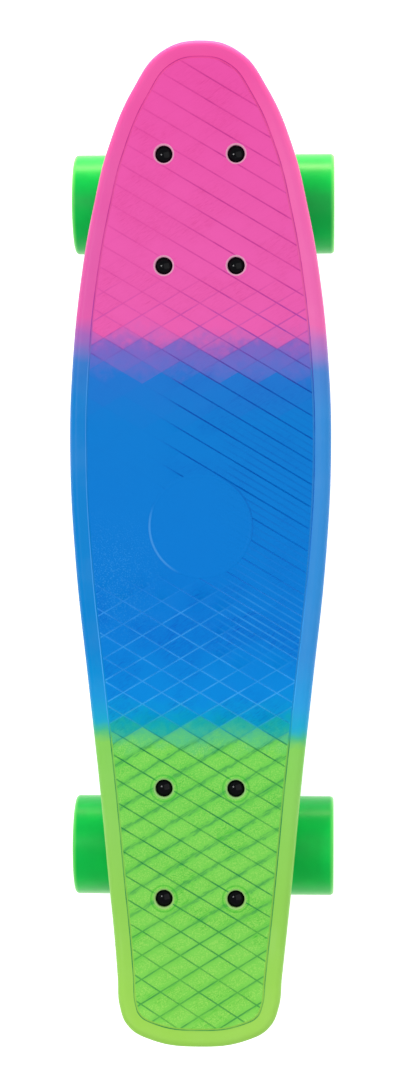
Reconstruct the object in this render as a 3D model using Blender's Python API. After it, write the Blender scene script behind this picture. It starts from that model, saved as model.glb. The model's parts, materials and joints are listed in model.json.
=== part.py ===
"""Mini cruiser skateboard: a moulded plastic deck on two cast trucks with four urethane wheels.

Metres, +Z up. The nose points to +Y, +X is the rider's right, and the origin is on the floor
midway along and across the board. Each truck is modelled once, in a frame of its own whose
origin is the middle of the top of its baseplate and whose +Y points outboard, to the nose or
the tail; the rear truck is the same truck turned half round.
"""

import math

import bmesh
import bpy
from mathutils import Matrix, Vector

MM = 0.001
GAP = 0.3 * MM  # between pieces that touch on the real board
SMOOTH_ANGLE = math.radians(32)  # flatter edges than this are shaded smooth

# Deck
DECK_DEPTH = 13.0 * MM
DECK_SKIN = 5.0 * MM
RIM_WIDTH = 9.2 * MM  # the rolled edge, seen from above
RIM_DROP = 6.5 * MM
LIP_ROUND = 2.5 * MM
LIP_WIDTH = 9.0 * MM
RIB = 2.6 * MM
# The solid pads over the trucks, and the lines on which the ribs stand
PAD_SIDE = 33 * MM
PAD_REACH = 46 * MM
CROSS_RIBS = (-90 * MM, -36 * MM, 36 * MM, 90 * MM)
LONG_RIB = 20 * MM
END_LONG_RIB = 12 * MM
COUNTERSINK_DEPTH = 0.9 * MM
COUNTERSINK_SLOPE = 3.4 / 2.9
PINK_FROM = 103 * MM
GREEN_FROM = -116 * MM
OUTLINE_STEP = 14.0 * MM
TAIL_KICK_START = -222.0 * MM
TAIL_KICK_CURVE = 30.0 * MM
TAIL_SLOPE = 0.40
NOSE_KICK_START = 222.0 * MM
NOSE_KICK_CURVE = 56.0 * MM
NOSE_SLOPE = 0.20
# Half of the outline from the tip of the nose to the middle of the tail, in millimetres, measured
# from midway between the trucks.
HALF_OUTLINE = (
    (0.0, 277.5),
    (22.5, 271.2),
    (38.5, 250.8),
    (53.2, 216.6),
    (61.3, 184.0),
    (67.8, 148.0),
    (73.4, 95.0),
    (75.0, 45.0),
    (72.2, -16.0),
    (64.3, -92.0),
    (58.3, -147.0),
    (52.0, -213.0),
    (47.2, -258.0),
    (45.5, -273.5),
    (40.5, -283.8),
    (28.0, -290.8),
    (0.0, -294.5),
)

# Midway between the trucks lies a little ahead of the middle of the board's length.
BOARD_SHIFT_Y = -(HALF_OUTLINE[0][1] + HALF_OUTLINE[-1][1]) / 2 * MM

# Truck bolts: the 41.3 by 63.5 mm pattern
TRUCK_CENTRE_Y = 181.35 * MM
BOLT_X = 20.65 * MM
BOLT_Y = 31.75 * MM
BOLT_RADIUS = 2.4 * MM
BOLT_HEAD_RADIUS = 4.8 * MM
BOLT_HEAD_HEIGHT = 2.8 * MM
BOLT_LENGTH = 22.2 * MM
BOLT_SINK = 3.4 * MM  # depth of the seat under the deck's top
NUT_FLATS = 9.5 * MM
NUT_HEIGHT = 5.8 * MM

# Wheels and bearings
WHEEL_RADIUS = 29.5 * MM
WHEEL_WIDTH = 43.6 * MM
WHEEL_LIP = 2.2 * MM  # the radius of the tread's edges
WHEEL_FACE = 19.0 * MM  # where the dished side meets the flat rim
WHEEL_BORE = 9.0 * MM
WHEEL_SIDES = 28
WHEEL_X = 55.0 * MM
BEARING_RADIUS = 11.0 * MM
BEARING_WIDTH = 7.0 * MM
BEARING_SPACING = 17.0 * MM  # between the middles of a wheel's two bearings

# Truck
TRUCK_HEIGHT = 50.0 * MM  # from the top of the baseplate down to the axle
AXLE_OUTBOARD = 9.4 * MM
AXLE_RADIUS = 4.0 * MM
AXLE_HALF = 76.0 * MM
AXLE_NUT_FLATS = 12.7 * MM
AXLE_NUT_HEIGHT = 6.6 * MM
WASHER_THICK = 1.0 * MM
WASHER_RADIUS = 6.0 * MM
HANGER_HALF = 41.4 * MM
PLATE_WIDTH = 56.0 * MM
PLATE_LENGTH = 83.0 * MM
PLATE_THICK = 5.5 * MM
PLATE_CORNER = 9.0 * MM
BOSS_RADII = (18.0 * MM, 13.6 * MM)
HOUSING_RADII = (12.5 * MM, 11.6 * MM)
HOUSING_ENDS = (-12.0 * MM, 3.6 * MM)
HEAD_POCKET_RADIUS = 9.2 * MM
KINGPIN_TILT = math.radians(18)
KINGPIN_RADIUS = 4.75 * MM
KINGPIN_FLATS = 14.3 * MM
RING_CENTRE = Vector((0, -12, -35)) * MM
PIVOT_CENTRE = Vector((0, 28, -13)) * MM
PIVOT_RISE = math.radians(50)
PIVOT_BALL = 5.5 * MM
PIVOT_CUP_RADIUS = 8.5 * MM
PIVOT_CUP_DEPTH = 8.0 * MM
PIVOT_CUP_RISE = 4.0 * MM
BUSHING_RADIUS = 11.7 * MM
RING_RADIUS = 17.0 * MM
RING_HALF = 6.0 * MM
RING_WEB_HALF = 2.7 * MM
# (radius, distance from the middle) along half of the axle housing, inside its chamfered end
TUBE = ((8.6 * MM, 33 * MM), (10.2 * MM, 20 * MM), (10.8 * MM, 8 * MM))
TUBE_END = (7.4 * MM, 8.2 * MM)
# (half width, distance from the ring's middle) of the web between the ring and the axle
WINGS = ((15.5 * MM, 2 * MM), (17 * MM, 8 * MM), (22 * MM, 15 * MM), (31 * MM, 23 * MM), (33 * MM, 27 * MM))
WING_HALF = 5.2 * MM
ARM = ((5.0 * MM, 9 * MM), (6.4 * MM, 16 * MM), (8.6 * MM, 28 * MM), (9.2 * MM, 39 * MM))

# Heights over the floor. A flat of the many-sided wheel lies on the floor.
AXLE_Z = WHEEL_RADIUS * math.cos(math.pi / WHEEL_SIDES)
PLATE_TOP_Z = AXLE_Z + TRUCK_HEIGHT
DECK_BOTTOM_Z = PLATE_TOP_Z + GAP
DECK_TOP_Z = DECK_BOTTOM_Z + DECK_DEPTH

# Places along the kingpin, from the top of the baseplate
KINGPIN_DOWN = Vector((0, -math.sin(KINGPIN_TILT), -math.cos(KINGPIN_TILT)))
RING_S = -RING_CENTRE.z / math.cos(KINGPIN_TILT)
KINGPIN_TOP = RING_CENTRE - KINGPIN_DOWN * RING_S
HEAD_S = 3.2 * MM
HEAD_HEIGHT = 6.0 * MM
SEAT_S = 18.0 * MM
CUP_WASHER = 1.2 * MM
BOARD_BUSHING_S = SEAT_S + CUP_WASHER + 2 * GAP
ROAD_BUSHING_S = RING_S + RING_WEB_HALF + GAP
ROAD_BUSHING_HEIGHT = 12.0 * MM
ROAD_WASHER_S = ROAD_BUSHING_S + ROAD_BUSHING_HEIGHT + GAP
KINGPIN_NUT_S = ROAD_WASHER_S + CUP_WASHER + GAP
KINGPIN_NUT_HEIGHT = 8.0 * MM
KINGPIN_END_S = KINGPIN_NUT_S + KINGPIN_NUT_HEIGHT + 1.8 * MM

MATERIALS = {
    "deck_pink": ((0.82, 0.09, 0.40), 0.45, 0.0),
    "deck_blue": ((0.01, 0.20, 0.62), 0.45, 0.0),
    "deck_green": ((0.22, 0.64, 0.09), 0.45, 0.0),
    "wheel_urethane": ((0.01, 0.50, 0.07), 0.30, 0.0),
    "bushing_urethane": ((0.03, 0.42, 0.08), 0.40, 0.0),
    "cast_aluminium": ((0.62, 0.63, 0.65), 0.40, 1.0),
    "black_steel": ((0.01, 0.01, 0.012), 0.25, 0.6),
    "zinc_steel": ((0.55, 0.56, 0.58), 0.30, 1.0),
    "bearing_steel": ((0.50, 0.51, 0.53), 0.22, 1.0),
    "pivot_plastic": ((0.03, 0.03, 0.03), 0.50, 0.0),
}


# ---- Small tools ----


def clear_scene():
    for obj in list(bpy.data.objects):
        bpy.data.objects.remove(obj)


def make_materials():
    for name, (colour, roughness, metallic) in MATERIALS.items():
        material = bpy.data.materials.new(name)
        material.use_nodes = True
        shader = material.node_tree.nodes["Principled BSDF"]
        shader.inputs["Base Color"].default_value = (*colour, 1)
        shader.inputs["Roughness"].default_value = roughness
        shader.inputs["Metallic"].default_value = metallic


def new_mesh(name, bm, materials=()):
    """A mesh from bm with its faces turned outwards and its round sides shaded smooth."""
    bm.normal_update()
    bmesh.ops.recalc_face_normals(bm, faces=bm.faces)
    mesh = bpy.data.meshes.new(name)
    bm.to_mesh(mesh)
    bm.free()
    mesh.shade_smooth()
    mesh.set_sharp_from_angle(angle=SMOOTH_ANGLE)
    for material in materials:
        mesh.materials.append(bpy.data.materials[material])
    return mesh


def new_object(name, mesh, parent=None, matrix=None):
    obj = bpy.data.objects.new(name, mesh)
    bpy.context.scene.collection.objects.link(obj)
    obj.parent = parent
    if matrix is not None:
        obj.matrix_basis = matrix
    return obj


def new_empty(name, parent=None, place=(0, 0, 0), turn=0.0):
    empty = new_object(name, None, parent)
    empty.location = place
    empty.rotation_euler = (0, 0, turn)
    return empty


def helper(name, bm):
    """A cutter, or a lump that a Boolean joins on: it is not a piece of the board."""
    obj = new_object(name, new_mesh(name, bm))
    obj.hide_render = True
    obj.display_type = "WIRE"
    return obj


def boolean(obj, other, operation):
    modifier = obj.modifiers.new(other.name, "BOOLEAN")
    modifier.operation = operation
    modifier.object = other


def along(start, direction, lift=0.0):
    """A matrix that lays local +Z on a direction, with its origin lift along it from start."""
    turn = direction.normalized().to_track_quat("Z", "Y").to_matrix().to_4x4()
    return Matrix.Translation(start + direction.normalized() * lift) @ turn


def turned(profile, sides, first_angle=0.0):
    """A solid turned about +Z from (radius, height) points. The profile is closed, or ends on the axis."""
    bm = bmesh.new()
    verts = [bm.verts.new((radius, 0, height)) for radius, height in profile]
    edges = [bm.edges.new(pair) for pair in zip(verts, verts[1:])]
    if profile[0][0] > 1e-9:
        edges.append(bm.edges.new((verts[-1], verts[0])))
    bmesh.ops.spin(
        bm,
        geom=verts + edges,
        cent=(0, 0, 0),
        axis=(0, 0, 1),
        angle=2 * math.pi,
        steps=sides,
        use_merge=True,
    )
    bmesh.ops.remove_doubles(bm, verts=bm.verts, dist=1e-7)
    bmesh.ops.rotate(bm, verts=bm.verts, matrix=Matrix.Rotation(first_angle, 3, "Z"))
    return bm


def press_to_hexagon(bm, flats, over=0.0):
    """Pulls points that lie outside a hexagon onto its sides, leaving those nearer the axis than over."""
    for vert in bm.verts:
        radius = math.hypot(vert.co.x, vert.co.y)
        if radius <= over:
            continue
        angle = math.atan2(vert.co.y, vert.co.x)
        from_flat = (angle % math.radians(60)) - math.radians(30)
        side = flats / 2 / math.cos(from_flat)
        if radius > side:
            vert.co.x *= side / radius
            vert.co.y *= side / radius


def arc(centre, radius, start, end, steps):
    """(radius, height) points on an arc of a profile, angles in degrees."""
    angles = [math.radians(start + (end - start) * i / steps) for i in range(steps + 1)]
    return [(centre[0] + radius * math.cos(a), centre[1] + radius * math.sin(a)) for a in angles]


def keep_side(bm, point, outwards):
    """Cuts a closed shape with a plane, keeps the side away from outwards and closes the cut."""
    everything = list(bm.verts) + list(bm.edges) + list(bm.faces)
    cut = bmesh.ops.bisect_plane(
        bm,
        geom=everything,
        plane_co=point,
        plane_no=outwards,
        clear_outer=True,
    )
    edges = [item for item in cut["geom_cut"] if isinstance(item, bmesh.types.BMEdge)]
    bmesh.ops.holes_fill(bm, edges=edges, sides=0)


def extruded(points, bottom, top):
    """A prism on an outline of (x, y) points."""
    bm = bmesh.new()
    face = bm.faces.new([bm.verts.new((x, y, bottom)) for x, y in points])
    made = bmesh.ops.extrude_face_region(bm, geom=[face])
    lifted = [item for item in made["geom"] if isinstance(item, bmesh.types.BMVert)]
    bmesh.ops.translate(bm, verts=lifted, vec=(0, 0, top - bottom))
    return bm


def rounded_rectangle(width, length, corner, steps):
    points = []
    for quarter, (side_x, side_y) in enumerate(((1, 1), (-1, 1), (-1, -1), (1, -1))):
        middle = (side_x * (width / 2 - corner), side_y * (length / 2 - corner))
        points += arc(middle, corner, 90 * quarter, 90 * quarter + 90, steps)
    return points


# ---- Deck ----


def smooth_loop(points, steps):
    """A closed Catmull-Rom curve through the points."""
    found = []
    count = len(points)
    for i in range(count):
        a, b, c, d = (Vector(points[(i + k - 1) % count]) for k in range(4))
        for step in range(steps):
            t = step / steps
            found.append(
                0.5 * (2 * b + (c - a) * t + (2 * a - 5 * b + 4 * c - d) * t**2)
                + 0.5 * (3 * b - a - 3 * c + d) * t**3
            )
    return found


def evenly(points, step):
    """The points of a closed curve moved to an even spacing near step."""
    ends = points + [points[0]]
    lengths = [(b - a).length for a, b in zip(ends, ends[1:])]
    count = 2 * round(sum(lengths) / step / 2)
    spacing = sum(lengths) / count
    found = []
    walked = 0.0
    for a, b, length in zip(ends, ends[1:], lengths):
        while len(found) < count and len(found) * spacing < walked + length:
            found.append(a.lerp(b, (len(found) * spacing - walked) / length))
        walked += length
    return found


def deck_outline():
    right = [(x * MM, y * MM) for x, y in HALF_OUTLINE]
    left = [(-x, y) for x, y in reversed(right[1:-1])]
    return evenly(smooth_loop(right + left, 24), OUTLINE_STEP)


def outline_face(bm, inset):
    """The deck's outline as a face at z 0, moved inwards by inset."""
    face = bm.faces.new([bm.verts.new((p.x, p.y, 0)) for p in deck_outline()])
    face.normal_update()
    if face.normal.z < 0:
        face.normal_flip()
    if inset:
        ring = bmesh.ops.inset_individual(bm, faces=[face], thickness=inset, use_even_offset=True)
        bmesh.ops.delete(bm, geom=ring["faces"], context="FACES")
    return face


def deck_blank():
    """The deck as a flat slab with its rolled rim and rounded lip, its top at z 0."""
    bm = bmesh.new()
    top = outline_face(bm, 0)
    bmesh.ops.translate(bm, verts=list(top.verts), vec=(0, 0, -RIM_DROP))
    made = bmesh.ops.extrude_face_region(bm, geom=[top], use_keep_orig=True)
    bottom = next(item for item in made["geom"] if isinstance(item, bmesh.types.BMFace))
    bmesh.ops.translate(bm, verts=list(bottom.verts), vec=(0, 0, RIM_DROP + LIP_ROUND - DECK_DEPTH))
    bmesh.ops.recalc_face_normals(bm, faces=bm.faces)
    for face, width, height, steps in ((top, RIM_WIDTH, RIM_DROP, 4), (bottom, LIP_ROUND, LIP_ROUND, 1)):
        curve = arc((0, 0), 1, 0, 90, steps)
        for (x0, y0), (x1, y1) in zip(curve, curve[1:]):
            bmesh.ops.inset_individual(
                bm,
                faces=[face],
                thickness=(x0 - x1) * width,
                depth=(y1 - y0) * height,
                use_even_offset=True,
            )
    return bm


def pocket_bays():
    """(x0, x1, y0, y1) of each hollow in the underside; ribs are what is left between them."""
    wide = max(x for x, _ in HALF_OUTLINE) * MM
    far = -HALF_OUTLINE[-1][1] * MM
    pad_near = TRUCK_CENTRE_Y - PAD_REACH
    pad_far = TRUCK_CENTRE_Y + PAD_REACH
    rows = (-pad_near, *CROSS_RIBS, pad_near)
    bays = []
    for y0, y1 in zip(rows, rows[1:]):
        bays += [(-wide, -LONG_RIB, y0, y1), (-LONG_RIB, LONG_RIB, y0, y1), (LONG_RIB, wide, y0, y1)]
    for y0, y1 in ((pad_near, pad_far), (-pad_far, -pad_near)):
        bays += [(-wide, -PAD_SIDE, y0, y1), (PAD_SIDE, wide, y0, y1)]
    for y0, y1 in ((pad_far, far), (-far, -pad_far)):
        bays += [(-wide, -END_LONG_RIB, y0, y1), (-END_LONG_RIB, END_LONG_RIB, y0, y1)]
        bays += [(END_LONG_RIB, wide, y0, y1)]
    return bays


def pockets():
    """All the hollows in one cutter."""
    blank = bmesh.new()
    face = outline_face(blank, LIP_WIDTH)
    bmesh.ops.translate(blank, verts=list(face.verts), vec=(0, 0, -DECK_SKIN))
    made = bmesh.ops.extrude_face_region(blank, geom=[face], use_keep_orig=True)
    lower = [item for item in made["geom"] if isinstance(item, bmesh.types.BMVert)]
    bmesh.ops.translate(blank, verts=lower, vec=(0, 0, -DECK_DEPTH))
    together = bpy.data.meshes.new("pockets")
    joined = bmesh.new()
    for x0, x1, y0, y1 in pocket_bays():
        bay = blank.copy()
        keep_side(bay, (x0 + RIB / 2, 0, 0), (-1, 0, 0))
        keep_side(bay, (x1 - RIB / 2, 0, 0), (1, 0, 0))
        keep_side(bay, (0, y0 + RIB / 2, 0), (0, -1, 0))
        keep_side(bay, (0, y1 - RIB / 2, 0), (0, 1, 0))
        bay.to_mesh(together)
        bay.free()
        joined.from_mesh(together)
    blank.free()
    bpy.data.meshes.remove(together)
    return joined


def bolt_places():
    """The eight deck bolts, as (truck, number, x, y)."""
    places = []
    for truck, middle in (("front", TRUCK_CENTRE_Y), ("rear", -TRUCK_CENTRE_Y)):
        corners = [(x, y) for y in (BOLT_Y, -BOLT_Y) for x in (-BOLT_X, BOLT_X)]
        for number, (x, y) in enumerate(corners, 1):
            places.append((truck, number, x, middle + y))
    return places


def bolt_hole():
    seat = BOLT_HEAD_RADIUS + GAP
    over = 2 * MM
    below = -DECK_DEPTH - over
    return (
        (0, over),
        (seat + (over + COUNTERSINK_DEPTH) * COUNTERSINK_SLOPE, over),
        (seat, -COUNTERSINK_DEPTH),
        (seat, -BOLT_SINK),
        (BOLT_RADIUS + GAP, -BOLT_SINK),
        (BOLT_RADIUS + GAP, below),
        (0, below),
    )


def bolt_holes():
    bm = bmesh.new()
    for _, _, x, y in bolt_places():
        hole = turned(bolt_hole(), 16)
        bmesh.ops.translate(hole, verts=hole.verts, vec=(x, y, 0))
        mesh = bpy.data.meshes.new("hole")
        hole.to_mesh(mesh)
        hole.free()
        bm.from_mesh(mesh)
        bpy.data.meshes.remove(mesh)
    return bm


def kick(distance, curve, slope):
    """How far the deck rises, distance past the start of a kick: a parabola, then a straight slope."""
    if distance <= 0:
        return 0.0
    if distance < curve:
        return slope * distance**2 / (2 * curve)
    return slope * (distance - curve / 2)


def lift(y):
    tail = kick(TAIL_KICK_START - y, TAIL_KICK_CURVE, TAIL_SLOPE)
    return tail + kick(y - NOSE_KICK_START, NOSE_KICK_CURVE, NOSE_SLOPE)


def kick_stations():
    """Where the deck is cut across so that it can bend."""
    tail = [TAIL_KICK_START - TAIL_KICK_CURVE * i / 3 for i in range(4)]
    nose = [NOSE_KICK_START + NOSE_KICK_CURVE * i / 3 for i in range(4)]
    return tail + nose


def make_deck():
    flat = new_object("deck_flat", new_mesh("deck_flat", deck_blank()))
    cutters = [helper("pockets", pockets()), helper("bolt_holes", bolt_holes())]
    for cutter in cutters:
        boolean(flat, cutter, "DIFFERENCE")
    graph = bpy.context.evaluated_depsgraph_get()
    cut = bpy.data.meshes.new_from_object(flat.evaluated_get(graph))
    for obj in [flat, *cutters]:
        bpy.data.objects.remove(obj)
    bm = bmesh.new()
    bm.from_mesh(cut)
    for station in kick_stations():
        everything = list(bm.verts) + list(bm.edges) + list(bm.faces)
        bmesh.ops.bisect_plane(bm, geom=everything, plane_co=(0, station, 0), plane_no=(0, 1, 0))
    bmesh.ops.triangulate(bm, faces=bm.faces)
    for vert in bm.verts:
        vert.co.z += lift(vert.co.y)
    mesh = new_mesh("deck", bm, ("deck_blue", "deck_pink", "deck_green"))
    for polygon in mesh.polygons:
        y = polygon.center.y
        polygon.material_index = 1 if y > PINK_FROM else 2 if y < GREEN_FROM else 0
    deck = new_object("deck", mesh)
    deck.location = (0, BOARD_SHIFT_Y, DECK_TOP_Z)


# ---- Fasteners ----


def nut(flats, height, hole, collar):
    """A lock nut standing on z 0: a chamfered hexagon with a round collar on it."""
    corner = flats / math.sqrt(3)
    profile = (
        (hole, 0),
        (flats / 2 * 0.98, 0),
        (corner, 0.9 * MM),
        (corner, height - collar - 0.6 * MM),
        (flats / 2 * 0.92, height - collar),
        (flats / 2 * 0.74, height),
        (hole, height),
    )
    bm = turned(profile, 12)
    press_to_hexagon(bm, flats)
    return bm


def deck_bolt():
    """A domed bolt hanging from z 0, the top of its seat; its head stands above."""
    head = BOLT_HEAD_RADIUS
    dome = [(radius, BOLT_HEAD_HEIGHT * height) for radius, height in reversed(arc((0, 0), 1, 0, 90, 3))]
    profile = [(radius * head, 0.3 * BOLT_HEAD_HEIGHT + 0.7 * height) for radius, height in dome]
    profile += [
        (head, 0),
        (BOLT_RADIUS, 0),
        (BOLT_RADIUS, 0.6 * MM - BOLT_LENGTH),
        (BOLT_RADIUS - 0.6 * MM, -BOLT_LENGTH),
        (0, -BOLT_LENGTH),
    ]
    return turned(profile, 12)


def make_deck_bolts():
    bolt = new_mesh("deck_bolt", deck_bolt(), ("black_steel",))
    lock_nut = new_mesh("deck_nut", nut(NUT_FLATS, NUT_HEIGHT, BOLT_RADIUS + GAP, 1.8 * MM), ("zinc_steel",))
    under = PLATE_TOP_Z - PLATE_THICK - GAP
    seat = DECK_TOP_Z - BOLT_SINK + GAP
    for truck, number, x, y in bolt_places():
        new_object(
            f"{truck}_deck_bolt_{number}",
            bolt,
            None,
            Matrix.Translation((x, y + BOARD_SHIFT_Y, seat)),
        )
        flip = Matrix.Translation((x, y + BOARD_SHIFT_Y, under)) @ Matrix.Rotation(math.pi, 4, "X")
        new_object(f"{truck}_deck_nut_{number}", lock_nut, None, flip)


# ---- Truck ----


def pivot_inwards():
    """From the pivot's ball down its arm into the hanger."""
    return Vector((0, -math.cos(PIVOT_RISE), -math.sin(PIVOT_RISE)))


def baseplate():
    """The plate with its kingpin boss and pivot housing; the holes are cut by its helpers."""
    bm = extruded(rounded_rectangle(PLATE_WIDTH, PLATE_LENGTH, PLATE_CORNER, 3), -PLATE_THICK, 0)
    plate = new_object("baseplate_plan", new_mesh("baseplate_plan", bm))
    wide, narrow = BOSS_RADII
    start = -8 * MM
    boss = turned(((0, start), (wide, start), (wide, PLATE_THICK), (narrow, SEAT_S), (0, SEAT_S)), 18)
    boss.transform(along(KINGPIN_TOP, KINGPIN_DOWN))
    wide, narrow = HOUSING_RADII
    start, end = HOUSING_ENDS
    housing = turned(((0, start), (wide, start), (narrow, end), (0, end)), 18)
    housing.transform(along(PIVOT_CENTRE, pivot_inwards()))
    for lump in (boss, housing):
        keep_side(lump, (0, 0, -1 * MM), (0, 0, 1))
    keep_side(housing, (0, PLATE_LENGTH / 2 - 0.6 * MM, 0), (0, 1, 0))
    above = -14 * MM
    head_end = HEAD_S + HEAD_HEIGHT + GAP
    head_pocket = turned(
        (
            (0, above),
            (HEAD_POCKET_RADIUS, above),
            (HEAD_POCKET_RADIUS, head_end),
            (KINGPIN_RADIUS + GAP, head_end),
            (KINGPIN_RADIUS + GAP, SEAT_S + 5 * MM),
            (0, SEAT_S + 5 * MM),
        ),
        18,
    )
    head_pocket.transform(along(KINGPIN_TOP, KINGPIN_DOWN))
    socket_radius = PIVOT_CUP_RADIUS + GAP
    deep = -PIVOT_CUP_DEPTH - GAP
    out = 9 * MM
    socket = turned(((0, deep), (socket_radius, deep), (socket_radius, out), (0, out)), 18)
    socket.transform(along(PIVOT_CENTRE, pivot_inwards()))
    helpers = [
        (helper("kingpin_boss", boss), "UNION"),
        (helper("pivot_housing", housing), "UNION"),
        (helper("kingpin_hole", head_pocket), "DIFFERENCE"),
        (helper("pivot_socket", socket), "DIFFERENCE"),
    ]
    for x in (-BOLT_X, BOLT_X):
        for y in (-BOLT_Y, BOLT_Y):
            hole_radius = BOLT_RADIUS + GAP
            hole = turned(((0, -9 * MM), (hole_radius, -9 * MM), (hole_radius, 3 * MM), (0, 3 * MM)), 10)
            bmesh.ops.translate(hole, verts=hole.verts, vec=(x, y, 0))
            helpers.append((helper("plate_bolt_hole", hole), "DIFFERENCE"))
    return joined_up(plate, helpers, "baseplate", "cast_aluminium")


def joined_up(obj, helpers, name, material):
    """The mesh of obj once its Booleans are done, with the objects it was made from removed."""
    for other, operation in helpers:
        boolean(obj, other, operation)
    graph = bpy.context.evaluated_depsgraph_get()
    bm = bmesh.new()
    bm.from_mesh(obj.evaluated_get(graph).data)
    for spent in [obj, *(other for other, _ in helpers)]:
        bpy.data.objects.remove(spent)
    bmesh.ops.triangulate(bm, faces=bm.faces)
    bmesh.ops.remove_doubles(bm, verts=bm.verts, dist=1e-6)
    return new_mesh(name, bm, (material,))


def axle_centre():
    return Vector((0, AXLE_OUTBOARD, -TRUCK_HEIGHT))


def hanger():
    """The cast hanger: axle housing, wings, bushing ring and pivot arm, in the truck's frame."""
    tip, shoulder = TUBE_END
    half = [(0, HANGER_HALF), (tip, HANGER_HALF), (shoulder, HANGER_HALF + tip - shoulder), *TUBE]
    profile = half + [(radius, -height) for radius, height in reversed(half)]
    tube = turned(profile, 20, math.radians(9))
    tube.transform(along(axle_centre(), Vector((1, 0, 0))))
    body = new_object("hanger_tube", new_mesh("hanger_tube", tube))

    ease = 1.5 * MM
    ring = turned(
        (
            (0, -RING_HALF),
            (RING_RADIUS - ease, -RING_HALF),
            (RING_RADIUS, ease - RING_HALF),
            (RING_RADIUS, RING_HALF - ease),
            (RING_RADIUS - ease, RING_HALF),
            (0, RING_HALF),
        ),
        22,
    )
    ring.transform(along(RING_CENTRE, KINGPIN_DOWN))

    reach = axle_centre() - RING_CENTRE
    plan = list(WINGS) + [(-x, y) for x, y in reversed(WINGS)]
    wings = extruded(plan, -WING_HALF, WING_HALF)
    along_reach = reach.normalized()
    across = Vector((1, 0, 0))
    frame = Matrix((across, along_reach, across.cross(along_reach))).transposed().to_4x4()
    wings.transform(Matrix.Translation(RING_CENTRE) @ frame)

    ball = arc((0, 0), PIVOT_BALL, -90, 32, 6)
    arm = turned([*ball, *ARM, (0, ARM[-1][1])], 20)
    arm.transform(along(PIVOT_CENTRE, pivot_inwards()))

    bore_radius = KINGPIN_RADIUS + 2.5 * MM
    seat_radius = BUSHING_RADIUS + GAP
    far = 22 * MM
    ring_hole = turned(
        (
            (0, -far),
            (seat_radius, -far),
            (seat_radius, -RING_WEB_HALF),
            (bore_radius, -RING_WEB_HALF),
            (bore_radius, RING_WEB_HALF),
            (seat_radius, RING_WEB_HALF),
            (seat_radius, far),
            (0, far),
        ),
        18,
    )
    ring_hole.transform(along(RING_CENTRE, KINGPIN_DOWN))
    bore = AXLE_RADIUS + GAP
    end = HANGER_HALF + far
    axle_bore = turned(((0, -end), (bore, -end), (bore, end), (0, end)), 16)
    axle_bore.transform(along(axle_centre(), Vector((1, 0, 0))))
    helpers = [
        (helper("ring", ring), "UNION"),
        (helper("wings", wings), "UNION"),
        (helper("pivot_arm", arm), "UNION"),
        (helper("ring_hole", ring_hole), "DIFFERENCE"),
        (helper("axle_bore", axle_bore), "DIFFERENCE"),
    ]
    return joined_up(body, helpers, "hanger", "cast_aluminium")


def kingpin():
    """Turned about +Z, which points down the pin, with its hexagon head at the top."""
    corner = KINGPIN_FLATS / math.sqrt(3)
    profile = (
        (0, HEAD_S),
        (KINGPIN_FLATS / 2 * 0.95, HEAD_S),
        (corner, HEAD_S + 1 * MM),
        (corner, HEAD_S + HEAD_HEIGHT),
        (KINGPIN_RADIUS, HEAD_S + HEAD_HEIGHT),
        (KINGPIN_RADIUS, KINGPIN_END_S - 1 * MM),
        (KINGPIN_RADIUS - 1 * MM, KINGPIN_END_S),
        (0, KINGPIN_END_S),
    )
    bm = turned(profile, 12)
    press_to_hexagon(bm, KINGPIN_FLATS, over=KINGPIN_RADIUS + 1e-6)
    return bm


def bushing(start, end, radii):
    """A urethane bushing round the kingpin. radii are its outside at start, middle and end."""
    hole = KINGPIN_RADIUS + GAP
    edge = 0.8 * MM
    profile = (
        (hole, start),
        (radii[0] - edge, start),
        (radii[0], start + edge),
        (radii[1], (start + end) / 2),
        (radii[2], end - edge),
        (radii[2] - edge, end),
        (hole, end),
    )
    return turned(profile, 18)


def road_washer():
    """A cup washer with its rim turned up round the end of the road-side bushing."""
    hole = KINGPIN_RADIUS + GAP
    start = ROAD_WASHER_S
    profile = (
        (hole, start),
        (10.0 * MM, start),
        (10.4 * MM, start - 1.2 * MM),
        (11.4 * MM, start - 1.2 * MM),
        (11.2 * MM, start + 0.4 * MM),
        (10.6 * MM, start + CUP_WASHER),
        (hole, start + CUP_WASHER),
    )
    return turned(profile, 18)


def pivot_cup():
    """A plastic cup round the pivot's ball. +Z points down the arm."""
    inside = PIVOT_BALL + GAP
    profile = (
        [(PIVOT_CUP_RADIUS, PIVOT_CUP_RISE), (PIVOT_CUP_RADIUS, 1 * MM - PIVOT_CUP_DEPTH)]
        + [(PIVOT_CUP_RADIUS - 1 * MM, -PIVOT_CUP_DEPTH), (0, -PIVOT_CUP_DEPTH)]
    )
    hollow = arc((0, 0), inside, -90, 0, 4) + [(inside + 0.9 * MM, PIVOT_CUP_RISE)]
    return turned(list(reversed(profile)) + list(reversed(hollow)), 16)


def axle():
    """Turned about +Z, with its threaded ends stepped in."""
    half = [(0, AXLE_HALF), (AXLE_RADIUS - 0.8 * MM, AXLE_HALF), (AXLE_RADIUS, AXLE_HALF - 1.0 * MM)]
    return turned(half + [(radius, -height) for radius, height in reversed(half)], 16)


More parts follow.
